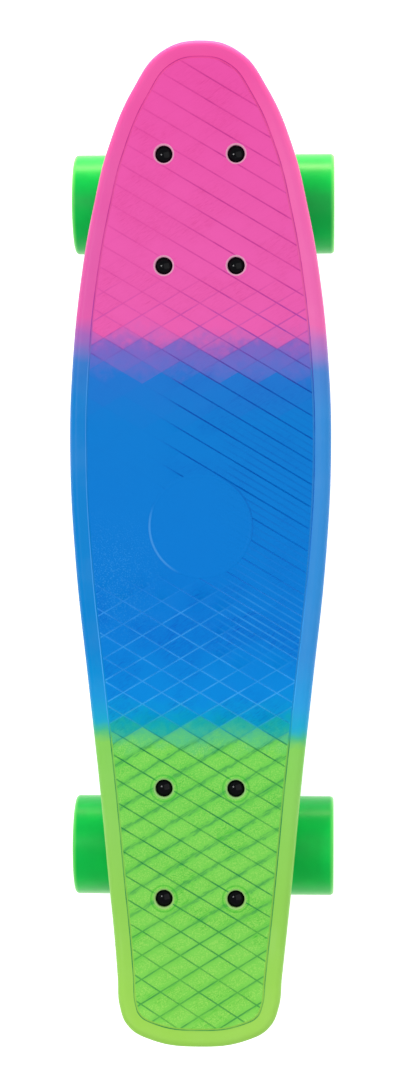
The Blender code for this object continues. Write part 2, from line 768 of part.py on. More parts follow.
def make_truck(name, frame):
    """Every piece that belongs to one truck, apart from the wheels. Returns the hanger's empty."""
    down_kingpin = along(KINGPIN_TOP, KINGPIN_DOWN)
    steer = new_empty(f"{name}_steer", frame, RING_CENTRE)
    to_steer = Matrix.Translation(-RING_CENTRE)

    def fixed(piece, mesh, matrix=None):
        new_object(f"{name}_{piece}", mesh, frame, matrix)

    def swinging(piece, mesh, matrix=None):
        new_object(f"{name}_{piece}", mesh, steer, to_steer @ (matrix or Matrix.Identity(4)))

    fixed("baseplate", truck_meshes["baseplate"])
    fixed("kingpin", truck_meshes["kingpin"], down_kingpin)
    fixed("board_bushing", truck_meshes["board_bushing"], down_kingpin)
    fixed("road_bushing", truck_meshes["road_bushing"], down_kingpin)
    fixed("road_washer", truck_meshes["road_washer"], down_kingpin)
    fixed("kingpin_nut", truck_meshes["kingpin_nut"], along(KINGPIN_TOP, KINGPIN_DOWN, KINGPIN_NUT_S))
    fixed("pivot_cup", truck_meshes["pivot_cup"], along(PIVOT_CENTRE, pivot_inwards()))
    swinging("hanger", truck_meshes["hanger"])
    swinging("axle", truck_meshes["axle"], along(axle_centre(), Vector((1, 0, 0))))
    return steer


def make_truck_meshes():
    bushing_end = RING_S - RING_WEB_HALF - GAP
    road_end = ROAD_BUSHING_S + ROAD_BUSHING_HEIGHT
    board = bushing(BOARD_BUSHING_S, bushing_end, (BUSHING_RADIUS - 0.2 * MM, BUSHING_RADIUS, BUSHING_RADIUS))
    road = bushing(ROAD_BUSHING_S, road_end, (BUSHING_RADIUS, BUSHING_RADIUS - 0.9 * MM, 9.6 * MM))
    king_nut = nut(KINGPIN_FLATS, KINGPIN_NUT_HEIGHT, KINGPIN_RADIUS + GAP, 2.4 * MM)
    return {
        "baseplate": baseplate(),
        "hanger": hanger(),
        "kingpin": new_mesh("kingpin", kingpin(), ("zinc_steel",)),
        "board_bushing": new_mesh("board_bushing", board, ("bushing_urethane",)),
        "road_bushing": new_mesh("road_bushing", road, ("bushing_urethane",)),
        "road_washer": new_mesh("road_washer", road_washer(), ("zinc_steel",)),
        "kingpin_nut": new_mesh("kingpin_nut", king_nut, ("zinc_steel",)),
        "pivot_cup": new_mesh("pivot_cup", pivot_cup(), ("pivot_plastic",)),
        "axle": new_mesh("axle", axle(), ("zinc_steel",)),
    }


# ---- Wheels ----


def wheel():
    """A 59 mm wheel turned about +Z, with a flat of its tread facing -X and seats for two bearings."""
    half = WHEEL_WIDTH / 2
    seat = BEARING_RADIUS + GAP
    shoulder = BEARING_SPACING / 2 - BEARING_WIDTH / 2 - GAP
    mouth = BEARING_SPACING / 2 + BEARING_WIDTH / 2 + 0.6 * MM
    quarter = [(WHEEL_BORE, shoulder), (seat, shoulder), (seat, mouth), (WHEEL_FACE, half)]
    quarter += arc((WHEEL_RADIUS - WHEEL_LIP, half - WHEEL_LIP), WHEEL_LIP, 90, 0, 2)
    profile = quarter + [(radius, -height) for radius, height in reversed(quarter)]
    return turned(profile, WHEEL_SIDES, math.pi / WHEEL_SIDES)


def bearing():
    """A 608 bearing turned about +Z, as one closed ring: its two races and the shields between."""
    half = BEARING_WIDTH / 2
    bore = AXLE_RADIUS + GAP
    return turned(((bore, -half), (BEARING_RADIUS, -half), (BEARING_RADIUS, half), (bore, half)), 18)


def speed_washer():
    """Turned about +Z, which points away from the hanger, standing on z 0."""
    bore = AXLE_RADIUS + GAP
    return turned(
        ((bore, 0), (WASHER_RADIUS, 0), (WASHER_RADIUS, WASHER_THICK), (bore, WASHER_THICK)),
        14,
    )


def make_wheel_meshes():
    axle_nut = nut(AXLE_NUT_FLATS, AXLE_NUT_HEIGHT, AXLE_RADIUS + GAP, 2.2 * MM)
    return {
        "wheel": new_mesh("wheel", wheel(), ("wheel_urethane",)),
        "bearing": new_mesh("bearing", bearing(), ("bearing_steel",)),
        "washer": new_mesh("washer", speed_washer(), ("zinc_steel",)),
        "axle_nut": new_mesh("axle_nut", axle_nut, ("zinc_steel",)),
    }


def make_wheel(name, steer, side):
    """One wheel with its bearings, and the washers and nut that hold it, on the side +1 or -1 of its truck."""
    outwards = Vector((side, 0, 0))
    on_axle = axle_centre() - RING_CENTRE
    roll = new_empty(f"{name}_roll", steer, on_axle + outwards * WHEEL_X)
    centred = along(Vector((0, 0, 0)), outwards)
    new_object(f"{name}_wheel", wheel_meshes["wheel"], roll, centred)
    for place, offset in (("inner", -BEARING_SPACING / 2), ("outer", BEARING_SPACING / 2)):
        matrix = along(Vector((0, 0, 0)), outwards, offset)
        new_object(f"{name}_{place}_bearing", wheel_meshes["bearing"], roll, matrix)
    outer_face = WHEEL_X + BEARING_SPACING / 2 + BEARING_WIDTH / 2
    inner_washer = along(on_axle, outwards, HANGER_HALF + GAP)
    outer_washer = along(on_axle, outwards, outer_face + GAP)
    nut_place = along(on_axle, outwards, outer_face + WASHER_THICK + 2 * GAP)
    new_object(f"{name}_inner_washer", wheel_meshes["washer"], steer, inner_washer)
    new_object(f"{name}_outer_washer", wheel_meshes["washer"], steer, outer_washer)
    new_object(f"{name}_axle_nut", wheel_meshes["axle_nut"], steer, nut_place)


clear_scene()
make_materials()
make_deck()
make_deck_bolts()
truck_meshes = make_truck_meshes()
wheel_meshes = make_wheel_meshes()
for truck_name, end in (("front", 1), ("rear", -1)):
    truck_frame = new_empty(
        f"{truck_name}_truck",
        place=(0, end * TRUCK_CENTRE_Y + BOARD_SHIFT_Y, PLATE_TOP_Z),
        turn=0.0 if end == 1 else math.pi,
    )
    steer_empty = make_truck(truck_name, truck_frame)
    for truck_side in (1, -1):
        side_name = "right" if truck_side * end == 1 else "left"
        make_wheel(f"{truck_name}_{side_name}", steer_empty, truck_side)
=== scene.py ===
import bpy
import bmesh
import json
import math
from mathutils import Matrix, Vector


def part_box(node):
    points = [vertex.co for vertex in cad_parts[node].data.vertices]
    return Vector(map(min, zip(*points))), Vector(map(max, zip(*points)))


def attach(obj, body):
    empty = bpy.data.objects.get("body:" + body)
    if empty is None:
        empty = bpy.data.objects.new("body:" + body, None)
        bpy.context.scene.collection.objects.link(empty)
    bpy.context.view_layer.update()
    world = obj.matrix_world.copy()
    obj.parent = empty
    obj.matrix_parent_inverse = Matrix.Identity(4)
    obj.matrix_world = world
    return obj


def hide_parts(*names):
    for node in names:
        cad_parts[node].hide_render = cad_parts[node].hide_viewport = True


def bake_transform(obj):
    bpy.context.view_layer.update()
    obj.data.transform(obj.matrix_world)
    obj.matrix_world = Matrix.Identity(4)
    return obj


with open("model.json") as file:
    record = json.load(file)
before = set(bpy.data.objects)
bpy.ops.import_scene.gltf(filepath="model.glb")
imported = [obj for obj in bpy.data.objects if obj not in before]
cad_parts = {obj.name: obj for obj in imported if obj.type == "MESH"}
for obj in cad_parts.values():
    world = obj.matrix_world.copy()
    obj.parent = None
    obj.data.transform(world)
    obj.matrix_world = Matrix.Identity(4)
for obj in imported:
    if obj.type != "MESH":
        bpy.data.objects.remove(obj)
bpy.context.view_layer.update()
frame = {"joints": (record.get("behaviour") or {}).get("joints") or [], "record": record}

# Shapes are made in millimetres and placed in the frame, which is in metres.
mm = 0.001
joints = {joint["name"]: joint for joint in frame["joints"]}
deckTop = frame["record"]["mounts"][0]["pos_m"][2]
frontAxle = Vector(joints["front_left_roll"]["pos_m"])
rearAxle = Vector(joints["rear_left_roll"]["pos_m"])
middleY = (frontAxle.y + rearAxle.y) / 2  # midway between the trucks
wheelAcross = abs(frontAxle.x) / mm  # a wheel's middle, from the board's centre line
wheelWidth = 43.6


class Wire:
    # An output socket. Arithmetic on it adds Math nodes.
    def __init__(self, finish, socket):
        self.finish = finish
        self.socket = socket

    def maths(self, operation, *values):
        inputs = {i: value for i, value in enumerate(values)}
        return self.finish.node("Math", {"operation": operation}, inputs)

    def __add__(self, other):
        return self.maths("ADD", self, other)

    def __radd__(self, other):
        return self.maths("ADD", other, self)

    def __sub__(self, other):
        return self.maths("SUBTRACT", self, other)

    def __rsub__(self, other):
        return self.maths("SUBTRACT", other, self)

    def __mul__(self, other):
        return self.maths("MULTIPLY", self, other)

    def __rmul__(self, other):
        return self.maths("MULTIPLY", other, self)

    def __truediv__(self, other):
        return self.maths("DIVIDE", self, other)

    def floor(self):
        return self.maths("FLOOR", self)

    def fract(self):
        return self.maths("FRACT", self)

    def size(self):
        return self.maths("ABSOLUTE", self)

    def most(self, other):
        return self.maths("MAXIMUM", self, other)

    def ramp(self, low, high, toLow=0.0, toHigh=1.0):
        # Carries low..high to toLow..toHigh smoothly and holds the ends.
        settings = {"interpolation_type": "SMOOTHSTEP"}
        return self.finish.node("MapRange", settings, {0: self, 1: low, 2: high, 3: toLow, 4: toHigh})


class Finish:
    # A material and the nodes that make it.
    def __init__(self, name):
        self.material = bpy.data.materials.new(name)
        self.material.use_nodes = True
        self.tree = self.material.node_tree
        self.shader = self.tree.nodes["Principled BSDF"]

    def node(self, kind, settings, inputs, output=0):
        made = self.tree.nodes.new("ShaderNode" + kind)
        stops = settings.pop("stops", None)
        for key, value in settings.items():
            setattr(made, key, value)
        if stops:
            fillRamp(made.color_ramp, stops)
        for key, value in inputs.items():
            self.feed(made.inputs[key], value)
        return Wire(self, made.outputs[output])

    def feed(self, socket, value):
        if isinstance(value, Wire):
            self.tree.links.new(value.socket, socket)
        else:
            socket.default_value = value

    def surface(self, **values):
        for key, value in values.items():
            self.feed(self.shader.inputs[key.replace("_", " ")], value)
        return self.material

    def place(self):
        return self.node("TexCoord", {}, {}, "Object")

    def axes(self):
        # Object coordinates as three wires, in millimetres.
        place = self.place()
        return [self.node("SeparateXYZ", {}, {0: place}, axis) * 1000 for axis in "XYZ"]

    def noise(self, scale, detail=2.0, roughness=0.5, where=None):
        inputs = {"Vector": where or self.place(), "Scale": scale, "Detail": detail, "Roughness": roughness}
        return self.node("TexNoise", {}, inputs, "Fac")

    def mix(self, factor, first, second):
        return self.node("Mix", {"data_type": "RGBA"}, {0: factor, 6: first, 7: second}, 2)

    def bump(self, height, distance, strength=1.0):
        return self.node("Bump", {}, {"Height": height, "Distance": distance * mm, "Strength": strength})


def fillRamp(ramp, stops):
    # Stops are (position, colour) pairs in order.
    while len(ramp.elements) < len(stops):
        ramp.elements.new(1.0)
    for element, (position, colour) in zip(ramp.elements, stops):
        element.position = position
        element.color = colour


def paint(red, green, blue, share=1.0):
    # A screen colour, 0 to 255, as the shader's linear one.
    def straight(value):
        value /= 255
        return value / 12.92 if value <= 0.04045 else ((value + 0.055) / 1.055) ** 2.4

    return (straight(red) * share, straight(green) * share, straight(blue) * share, 1)


def lathe(profile, steps=64):
    # A body turned about +Z from (radius, height) points: a closed ring, or one that ends on the axis.
    bm = bmesh.new()
    verts = [bm.verts.new((radius, 0, height)) for radius, height in profile]
    edges = [bm.edges.new(pair) for pair in zip(verts, verts[1:])]
    if profile[0][0] > 1e-6:
        edges.append(bm.edges.new((verts[-1], verts[0])))
    bmesh.ops.spin(
        bm, geom=verts + edges, cent=(0, 0, 0), axis=(0, 0, 1),
        angle=2 * math.pi, steps=steps, use_merge=True)
    bmesh.ops.remove_doubles(bm, verts=bm.verts, dist=1e-4)
    return bm


def fillet(corners, closed=True):
    # Rounds a profile. Each corner is (radius, height) or (radius, height, fillet, segments).
    count = len(corners)
    found = []
    for i, corner in enumerate(corners):
        at = Vector(corner[:2])
        ends = not closed and i in (0, count - 1)
        if len(corner) < 3 or ends:
            found.append(tuple(at))
            continue
        before = Vector(corners[i - 1][:2]) - at
        after = Vector(corners[(i + 1) % count][:2]) - at
        half = before.angle(after) / 2
        reach = corner[2] / math.tan(half)
        middle = at + (before.normalized() + after.normalized()).normalized() * corner[2] / math.sin(half)
        first = at + before.normalized() * reach - middle
        last = at + after.normalized() * reach - middle
        segments = corner[3] if len(corner) > 3 else 4
        for step in range(segments + 1):
            found.append(tuple(middle + first.slerp(last, step / segments).normalized() * corner[2]))
    return found


def box(low, high):
    bm = bmesh.new()
    bmesh.ops.create_cube(bm, size=1.0)
    low, high = Vector(low), Vector(high)
    bmesh.ops.scale(bm, vec=high - low, verts=bm.verts)
    bmesh.ops.translate(bm, vec=(low + high) / 2, verts=bm.verts)
    return bm


def moved(bm, matrix):
    bmesh.ops.transform(bm, matrix=matrix, verts=bm.verts)
    return bm


def together(*parts):
    # Several closed shapes in one bmesh. The parts are used up.
    whole = bmesh.new()
    spare = bpy.data.meshes.new("spare")
    for part in parts:
        part.to_mesh(spare)
        part.free()
        whole.from_mesh(spare)
    bpy.data.meshes.remove(spare)
    return whole


def stood(bm, name="shape"):
    # A bmesh as an object, with its faces pointing out. The bmesh is used up.
    bm.normal_update()
    bmesh.ops.recalc_face_normals(bm, faces=bm.faces)
    mesh = bpy.data.meshes.new(name)
    bm.to_mesh(mesh)
    bm.free()
    obj = bpy.data.objects.new(name, mesh)
    bpy.context.scene.collection.objects.link(obj)
    return obj


def taken(obj):
    # The evaluated mesh of an object as a bmesh. The object is used up.
    graph = bpy.context.evaluated_depsgraph_get()
    bm = bmesh.new()
    bm.from_mesh(obj.evaluated_get(graph).to_mesh())
    mesh = obj.data
    bpy.data.objects.remove(obj)
    bpy.data.meshes.remove(mesh)
    return bm


def carved(bm, *cuts):
    # Boolean cuts on a shape, each an operation and the shape that does it.
    base = stood(bm)
    tools = []
    for operation, tool in cuts:
        tools.append(stood(tool))
        modifier = base.modifiers.new("cut", "BOOLEAN")
        modifier.operation = operation
        modifier.object = tools[-1]
    result = taken(base)
    for tool in tools:
        mesh = tool.data
        bpy.data.objects.remove(tool)
        bpy.data.meshes.remove(mesh)
    bmesh.ops.remove_doubles(result, verts=result.verts, dist=1e-4)
    return result


def cast(voxel, smoothing, *parts):
    # Parts fused as one casting: remeshed, then smoothed so that every join gets a fillet.
    base = stood(together(*parts))
    remesh = base.modifiers.new("fuse", "REMESH")
    remesh.mode = "VOXEL"
    remesh.voxel_size = voxel
    smooth = base.modifiers.new("smooth", "SMOOTH")
    smooth.factor = 0.5
    smooth.iterations = smoothing
    return taken(base)


def addPiece(name, bm, looks, body, place, nodes=(), sharp=32):
    # Lays a shape in the frame as a piece that rides on a body and stands for CAD nodes.
    # Its looks are names of finishes, parted by spaces, put on it in order.
    looks = looks.split()
    moved(bm, place @ Matrix.Scale(mm, 4))
    obj = stood(bm, name)
    mesh = obj.data
    mesh.shade_smooth()
    mesh.set_sharp_from_angle(angle=math.radians(sharp))
    for look in looks:
        mesh.materials.append(finishes[look])
    if body:
        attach(obj, body)
    if nodes:
        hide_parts(*nodes)
    return obj


def along(start, direction, shift=0.0):
    # Lays local +Z on a direction, with the origin shift along it from start.
    direction = Vector(direction).normalized()
    turn = direction.to_track_quat("Z", "Y").to_matrix().to_4x4()
    return Matrix.Translation(Vector(start) + direction * shift) @ turn


deckFinish = {
    # Colours along the board: distance ahead of the middle of the trucks, red, green, blue
    "field": (
        (-280, 124, 206, 82),
        (-128, 112, 206, 82),
        (-113, 12, 166, 165),
        (-106, 0, 152, 208),
        (-96, 0, 134, 216),
        (-60, 0, 119, 208),
        (60, 6, 120, 203),
        (85, 30, 114, 201),
        (102, 124, 98, 190),
        (108, 206, 96, 178),
        (115, 228, 92, 172),
        (280, 230, 79, 164),
    ),
    "rim": (
        (-280, 150, 206, 83),
        (-124, 132, 205, 90),
        (-119, 66, 186, 130),
        (-113, 0, 168, 206),
        (-99, 0, 152, 220),
        (-71, 0, 134, 210),
        (70, 16, 130, 208),
        (92, 52, 122, 202),
        (108, 176, 102, 186),
        (118, 229, 94, 170),
        (280, 234, 82, 160),
    ),
    # The bottoms of the grooves
    "line": (
        (-280, 34, 134, 76),
        (-124, 22, 126, 78),
        (-114, 40, 166, 190),
        (-98, 66, 172, 238),
        (-48, 60, 156, 231),
        (-28, 28, 122, 211),
        (20, 4, 90, 180),
        (80, 16, 72, 168),
        (114, 138, 62, 164),
        (138, 184, 52, 142),
        (280, 190, 50, 136),
    ),
    "mottle": 6.0,  # how far a diamond's colour strays along the board where colours meet, mm
}


def deckColour(finish, distance, name, share=1.0):
    # A run of the board's colours, read along its length in millimetres from the middle of the trucks.
    rows = deckFinish[name]
    low, high = rows[0][0], rows[-1][0]
    stops = [((row[0] - low) / (high - low), paint(*row[1:], share)) for row in rows]
    position = finish.node("MapRange", {}, {0: distance, 1: low, 2: high})
    return finish.node("ValToRGB", {"stops": stops}, {0: position})


lattice = {
    "across": 22.0,  # a diamond's width and length, mm
    "length": 13.1,
    "crossing": -251.7,  # a crossing on the centre line, ahead of the middle of the trucks
    "groove": 0.8,
    "depth": 0.34,
    "medallion": (0.4, 0.9, 30.0),  # the blank disc's middle and radius
}


boltPattern = {"truckCentre": 181.35, "x": 20.65, "y": 31.75, "head": 4.8, "sink": 3.4, "shank": 2.4}


def makeDeckField():
    finish = Finish("grained deck plastic")
    x, yFrame, _ = finish.axes()
    y = yFrame - middleY / mm
    slope = lattice["length"] / lattice["across"]
    falling = (y - lattice["crossing"] + x * slope) / lattice["length"]
    rising = (y - lattice["crossing"] - x * slope) / lattice["length"]
    cell = finish.node("CombineXYZ", {}, {0: falling.floor(), 1: rising.floor()})
    chance = finish.node("TexWhiteNoise", {"noise_dimensions": "2D"}, {"Vector": cell}, "Value")
    cellMiddle = (falling.floor() + rising.floor() + 1) * (lattice["length"] / 2) + lattice["crossing"]
    ragged = finish.noise(220, 3.0) - 0.5
    strayed = y * 0.4 + cellMiddle * 0.6 + (chance - 0.5) * deckFinish["mottle"] + ragged * 8
    plain = deckColour(finish, strayed, "field")

    # Regions along and across the board, 0 to 1
    green = y.ramp(-108, -126)
    tail = y.ramp(-214, -236)
    lowerBlue = y.ramp(-26, -52) * (1 - green)
    pink = y.ramp(96, 110)
    mx, my, radius = lattice["medallion"]
    offX, offY = x - mx, y - my
    disc = (offX * offX + offY * offY).ramp((radius + 1) ** 2, (radius - 1) ** 2)
    washed = (x.ramp(-6, -28) * y.ramp(106, 88) * y.ramp(-44, -22)).most(disc)

    # Fine scratched hatching that runs up to the right, in patches
    turn = finish.node("Mapping", {}, {"Vector": finish.place(), "Rotation": (0, 0, math.radians(-33))})
    stretch = finish.node("Mapping", {}, {"Vector": turn, "Scale": (150, 1300, 120)})
    streak = finish.noise(1.0, 2.0, 0.6, stretch)
    patches = finish.noise(45, 2.0).ramp(0.40, 0.60) * (0.35 + chance * 0.65) * (1 - washed * 0.8)
    grain = finish.noise(2600, 1.0)
    hatched = (streak - 0.5).size() * patches
    dark = finish.node("HueSaturation", {}, {"Hue": 0.53, "Saturation": 1.1, "Value": 0.70, "Color": plain})
    warm = finish.node("HueSaturation", {}, {"Hue": 0.47, "Saturation": 0.95, "Value": 1.12, "Color": plain})
    colour = finish.mix(hatched * (1.4 + green * 2.0 + lowerBlue * 1.6), plain, dark)
    colour = finish.mix((grain - 0.5).size() * 0.28, colour, dark)

    # The ridges up to the right are broad, soft and ragged in the green, with warm grainy diamonds between
    spacing = lattice["length"] * math.cos(math.atan(slope))
    wobble = (finish.noise(260, 4.0, 0.7) - 0.5) * 4.5
    riseAt = ((rising + 0.5).fract() - 0.5).size() * spacing
    fallAt = ((falling + 0.5).fract() - 0.5).size() * spacing
    soft = (riseAt + wobble).ramp(0.6, 1.7, 1.0, 0.0) * green * (1 - tail * 0.7)
    tint = deckColour(finish, y, "line")
    colour = finish.mix(soft * (0.06 + streak.ramp(0.38, 0.6) * 0.44), colour, tint)
    sandy = riseAt.ramp(1.4, 3.6) * finish.noise(1300, 2.0).ramp(0.46, 0.62) * green
    colour = finish.mix(sandy * 0.6, colour, warm)

    # Thin lines: both ways in the tail and the lower blue, else only down to the right
    crisp = lattice["groove"] / 2
    strength = 0.45 + finish.noise(70, 2.0).ramp(0.3, 0.7) * 0.55
    lineA = fallAt.ramp(crisp * 0.4, crisp * 1.5, 1.0, 0.0) * (1 - pink * x.ramp(20, -30) * 0.7)
    both = tail.most(lowerBlue * x.ramp(30, -10).most(y.ramp(-72, -92))).most(green * 0.3)
    both = both.most(y.ramp(156, 118) * y.ramp(86, 100) * 0.55).most(0.06)
    lineB = riseAt.ramp(crisp * 0.4, crisp * 1.5, 1.0, 0.0) * both
    extraAt = ((falling * 3 + 0.5).fract() - 0.5).size() * (spacing / 3)
    extra = extraAt.ramp(0.2, 0.7, 1.0, 0.0) * x.ramp(4, 26) * y.ramp(84, 20) * y.ramp(-84, -58)
    line = lineA.most(lineB).most(extra * 0.6) * (1 - washed * 0.95) * (1 - tail * 0.2) * strength
    colour = finish.mix(line * 0.85, colour, tint)

    # Sandy dots on the left, ahead of the lower blue's lattice
    dots = finish.noise(1400, 2.0).ramp(0.52, 0.66) * x.ramp(-10, -48) * y.ramp(20, -30) * y.ramp(-80, -40)
    colour = finish.mix(dots * 0.5, colour, paint(50, 146, 224))

    # The medallion's edge has a painted highlight on its lower left and painted shade on its upper right, and
    # the green bolts stand in faint rings
    far = finish.node("Math", {"operation": "SQRT"}, {0: offX * offX + offY * offY})
    medallionHighlight = (far - radius + 0.7).size().ramp(0.3, 0.9, 1.0, 0.0) * (offX * -0.93 - offY * 0.37).ramp(20, 28)
    colour = finish.mix(medallionHighlight * 0.35, colour, paint(96, 172, 236))
    shaded = (far - radius + 0.4).size().ramp(0.3, 0.8, 1.0, 0.0) * (offX * 0.93 + offY * 0.37).ramp(19, 28)
    colour = finish.mix(shaded * 0.4, colour, tint)
    boltX = x.size() - boltPattern["x"]
    boltY = (y.size() - boltPattern["truckCentre"]).size() - boltPattern["y"]
    boltFar = boltX * boltX + boltY * boltY
    colour = finish.mix(boltFar.ramp(46, 54) * boltFar.ramp(70, 60) * green * 0.5, colour, dark)

    fine = grain * 0.6 + streak * patches * 1.4 + dots * 1.5 - extra * 2.2 - soft * streak * 1.2
    normal = finish.bump(fine, 0.05, 0.8)
    rough = 0.42 + finish.noise(60) * 0.14
    return finish.surface(Base_Color=colour, Roughness=rough, Normal=normal, Specular_IOR_Level=0.05)


def makeDeckRim():
    finish = Finish("smooth rim plastic")
    x, yFrame, _ = finish.axes()
    y = yFrame - middleY / mm + x * 0.04 + (finish.noise(160, 2.0) - 0.5) * 5
    plain = deckColour(finish, y, "rim")
    # Painted light and shade: the rim is lighter on the right and darker on the left, up to where the green
    # starts
    aheadOfGreen = y.ramp(-124, -100)
    lighter = finish.mix(x.ramp(20, 76) * aheadOfGreen * 0.03, plain, (1.0, 1.0, 1.0, 1))
    lighter = finish.mix(x.ramp(-20, -76) * aheadOfGreen * 0.10, lighter, (0.0, 0.03, 0.2, 1))
    cloudy = finish.mix(finish.noise(35, 3.0).ramp(0.4, 0.7) * 0.012, lighter, (1.0, 1.0, 1.0, 1))
    normal = finish.bump(finish.noise(900, 2.0), 0.02, 0.5)
    rough = 0.30 + finish.noise(90, 2.0) * 0.12
    return finish.surface(Base_Color=cloudy, Roughness=rough, Normal=normal, Specular_IOR_Level=0.07)


def makeDeckUnder():
    finish = Finish("deck underside plastic")
    _, yFrame, _ = finish.axes()
    y = yFrame - middleY / mm + (finish.noise(120, 3.0) - 0.5) * 14
    plain = deckColour(finish, y, "rim", 0.85)
    flow = finish.noise(30, 4.0, 0.6)
    shaded = finish.mix(flow.ramp(0.35, 0.75) * 0.35, plain, (0.0, 0.0, 0.0, 1))
    normal = finish.bump(finish.noise(1500, 1.0), 0.04, 0.6)
    return finish.surface(Base_Color=shaded, Roughness=0.40 + flow * 0.2, Normal=normal)


def makeDeckLine():
    finish = Finish("border groove plastic")
    x, yFrame, _ = finish.axes()
    worn = finish.noise(70, 3.0)
    y = yFrame - middleY / mm + (worn - 0.5) * 8
    groove, rim = (deckColour(finish, y, name) for name in ("line", "rim"))
    colour = finish.mix(worn.ramp(0.35, 0.7) * 0.5, groove, rim)
    # Painted highlight: the border line is paler along the left of the blue
    leftBorderHighlight = x.ramp(-10, -40) * y.ramp(108, 88) * y.ramp(-118, -104)
    colour = finish.mix(leftBorderHighlight * 0.55, colour, paint(84, 172, 236))
    return finish.surface(Base_Color=colour, Roughness=0.5 + worn * 0.2, Specular_IOR_Level=0.1)


def makeBoltSeat():
    finish = Finish("pale bolt seat plastic")
    _, yFrame, _ = finish.axes()
    y = yFrame - middleY / mm
    seatPatchiness = finish.noise(500, 2.0)
    plain = deckColour(finish, y, "rim")
    # The seats are paler than the rim, more so towards the nose, and in patches by noise
    colour = finish.mix(y.ramp(-60, 60, 0.04, 0.24) + seatPatchiness * 0.16, plain, (0.9, 0.95, 0.9, 1))
    return finish.surface(Base_Color=colour, Roughness=0.35 + seatPatchiness * 0.2)


def makeWheelUrethane():
    finish = Finish("green wheel urethane")
    x, _, _ = finish.axes()
    cloud = finish.noise(55, 3.0)
    colour = finish.mix(cloud.ramp(0.3, 0.8), paint(0, 186, 72), paint(0, 200, 76))
    # Light soaks through the edges of the tread, which look paler
    half = wheelWidth / 2
    edge = (x.size() - wheelAcross).size().ramp(half - 2.8, half, 0.0, 0.8)
    colour = finish.mix(edge, colour, paint(120, 226, 110))
    turned = finish.node("Mapping", {}, {"Vector": finish.place(), "Scale": (2600, 6, 6)})
    lines = finish.noise(1.0, 2.0, 0.6, turned)
    normal = finish.bump(lines, 0.025, 0.6)
    return finish.surface(
        Base_Color=colour, Roughness=0.26 + cloud * 0.14, Normal=normal,
        Subsurface_Weight=0.12, Subsurface_Radius=(0.3, 1.0, 0.3), Subsurface_Scale=0.004,
        Specular_IOR_Level=0.15, Sheen_Weight=0.35, Sheen_Roughness=0.35, Sheen_Tint=(1.0, 1.0, 0.7, 1))


def makeBushingUrethane():
    finish = Finish("bushing urethane")
    cloud = finish.noise(80, 3.0)
    colour = finish.mix(cloud, paint(14, 150, 60), paint(36, 180, 74))
    normal = finish.bump(finish.noise(700, 2.0), 0.03, 0.5)
    return finish.surface(Base_Color=colour, Roughness=0.34 + cloud * 0.15, Normal=normal,
                          Subsurface_Weight=0.1, Subsurface_Radius=(0.3, 1.0, 0.3), Subsurface_Scale=0.003)


def makeCastAluminium():
    finish = Finish("tumbled cast aluminium")
    cloud = finish.noise(60, 4.0, 0.6)
    pits = finish.noise(1400, 3.0, 0.7)
    colour = finish.mix(cloud.ramp(0.3, 0.75), (0.56, 0.57, 0.59, 1), (0.70, 0.71, 0.73, 1))
    rough = 0.34 + cloud * 0.12 + pits * 0.10
    normal = finish.bump(pits * 0.7 + cloud * 2.0, 0.10, 0.55)
    return finish.surface(Base_Color=colour, Metallic=1.0, Roughness=rough, Normal=normal)


def makeBlackSteel():
    finish = Finish("black bolt steel")
    wear = finish.noise(900, 3.0)
    colour = finish.mix(wear.ramp(0.55, 0.8), (0.001, 0.001, 0.002, 1), (0.005, 0.005, 0.007, 1))
    normal = finish.bump(wear, 0.012, 0.5)
    rough = 0.08 + wear * 0.05
    return finish.surface(Base_Color=colour, Roughness=rough, Normal=normal, Specular_IOR_Level=0.12)


def makeZincSteel():
    finish = Finish("zinc plated steel")
    cloud = finish.noise(260, 3.0)
    colour = finish.mix(cloud.ramp(0.3, 0.7), (0.50, 0.51, 0.52, 1), (0.66, 0.67, 0.69, 1))
    normal = finish.bump(finish.noise(2400, 2.0), 0.012, 0.6)
    return finish.surface(Base_Color=colour, Metallic=1.0, Roughness=0.20 + cloud * 0.16, Normal=normal)


def makeBearingSteel():
    finish = Finish("ground bearing steel")
    turned = finish.node("Mapping", {}, {"Vector": finish.place(), "Scale": (9000, 40, 40)})
    lines = finish.noise(1.0, 2.0, 0.6, turned)
    colour = finish.mix(lines.ramp(0.3, 0.7), (0.52, 0.53, 0.55, 1), (0.64, 0.65, 0.67, 1))
    return finish.surface(Base_Color=colour, Metallic=1.0, Roughness=0.14 + lines * 0.12,
                          Normal=finish.bump(lines, 0.008, 0.5))


def makeBlackPlastic(name, colour, roughness):
    finish = Finish(name)
    cloud = finish.noise(500, 3.0)
    lighter = tuple(min(1.0, channel * 1.35 + 0.004) for channel in colour[:3]) + (1,)
    normal = finish.bump(finish.noise(1800, 2.0), 0.02, 0.5)
    return finish.surface(Base_Color=finish.mix(cloud, colour, lighter),
                          Roughness=roughness + cloud * 0.15, Normal=normal)


finishes = {
    "field": makeDeckField(),
    "line": makeDeckLine(),
    "rim": makeDeckRim(),
    "seat": makeBoltSeat(),
    "under": makeDeckUnder(),
    "wheel": makeWheelUrethane(),
    "bushing": makeBushingUrethane(),
    "cast": makeCastAluminium(),
    "black": makeBlackSteel(),
    "zinc": makeZincSteel(),
    "bearing": makeBearingSteel(),
    "pivot": makeBlackPlastic("pivot cup plastic", (0.018, 0.018, 0.02, 1), 0.4),
    "shield": makeBlackPlastic("bearing seal rubber", (0.03, 0.03, 0.032, 1), 0.45),
    "nylon": makeBlackPlastic("lock nut nylon", (0.62, 0.64, 0.66, 1), 0.35),
}
print("finishes made:", len(finishes))


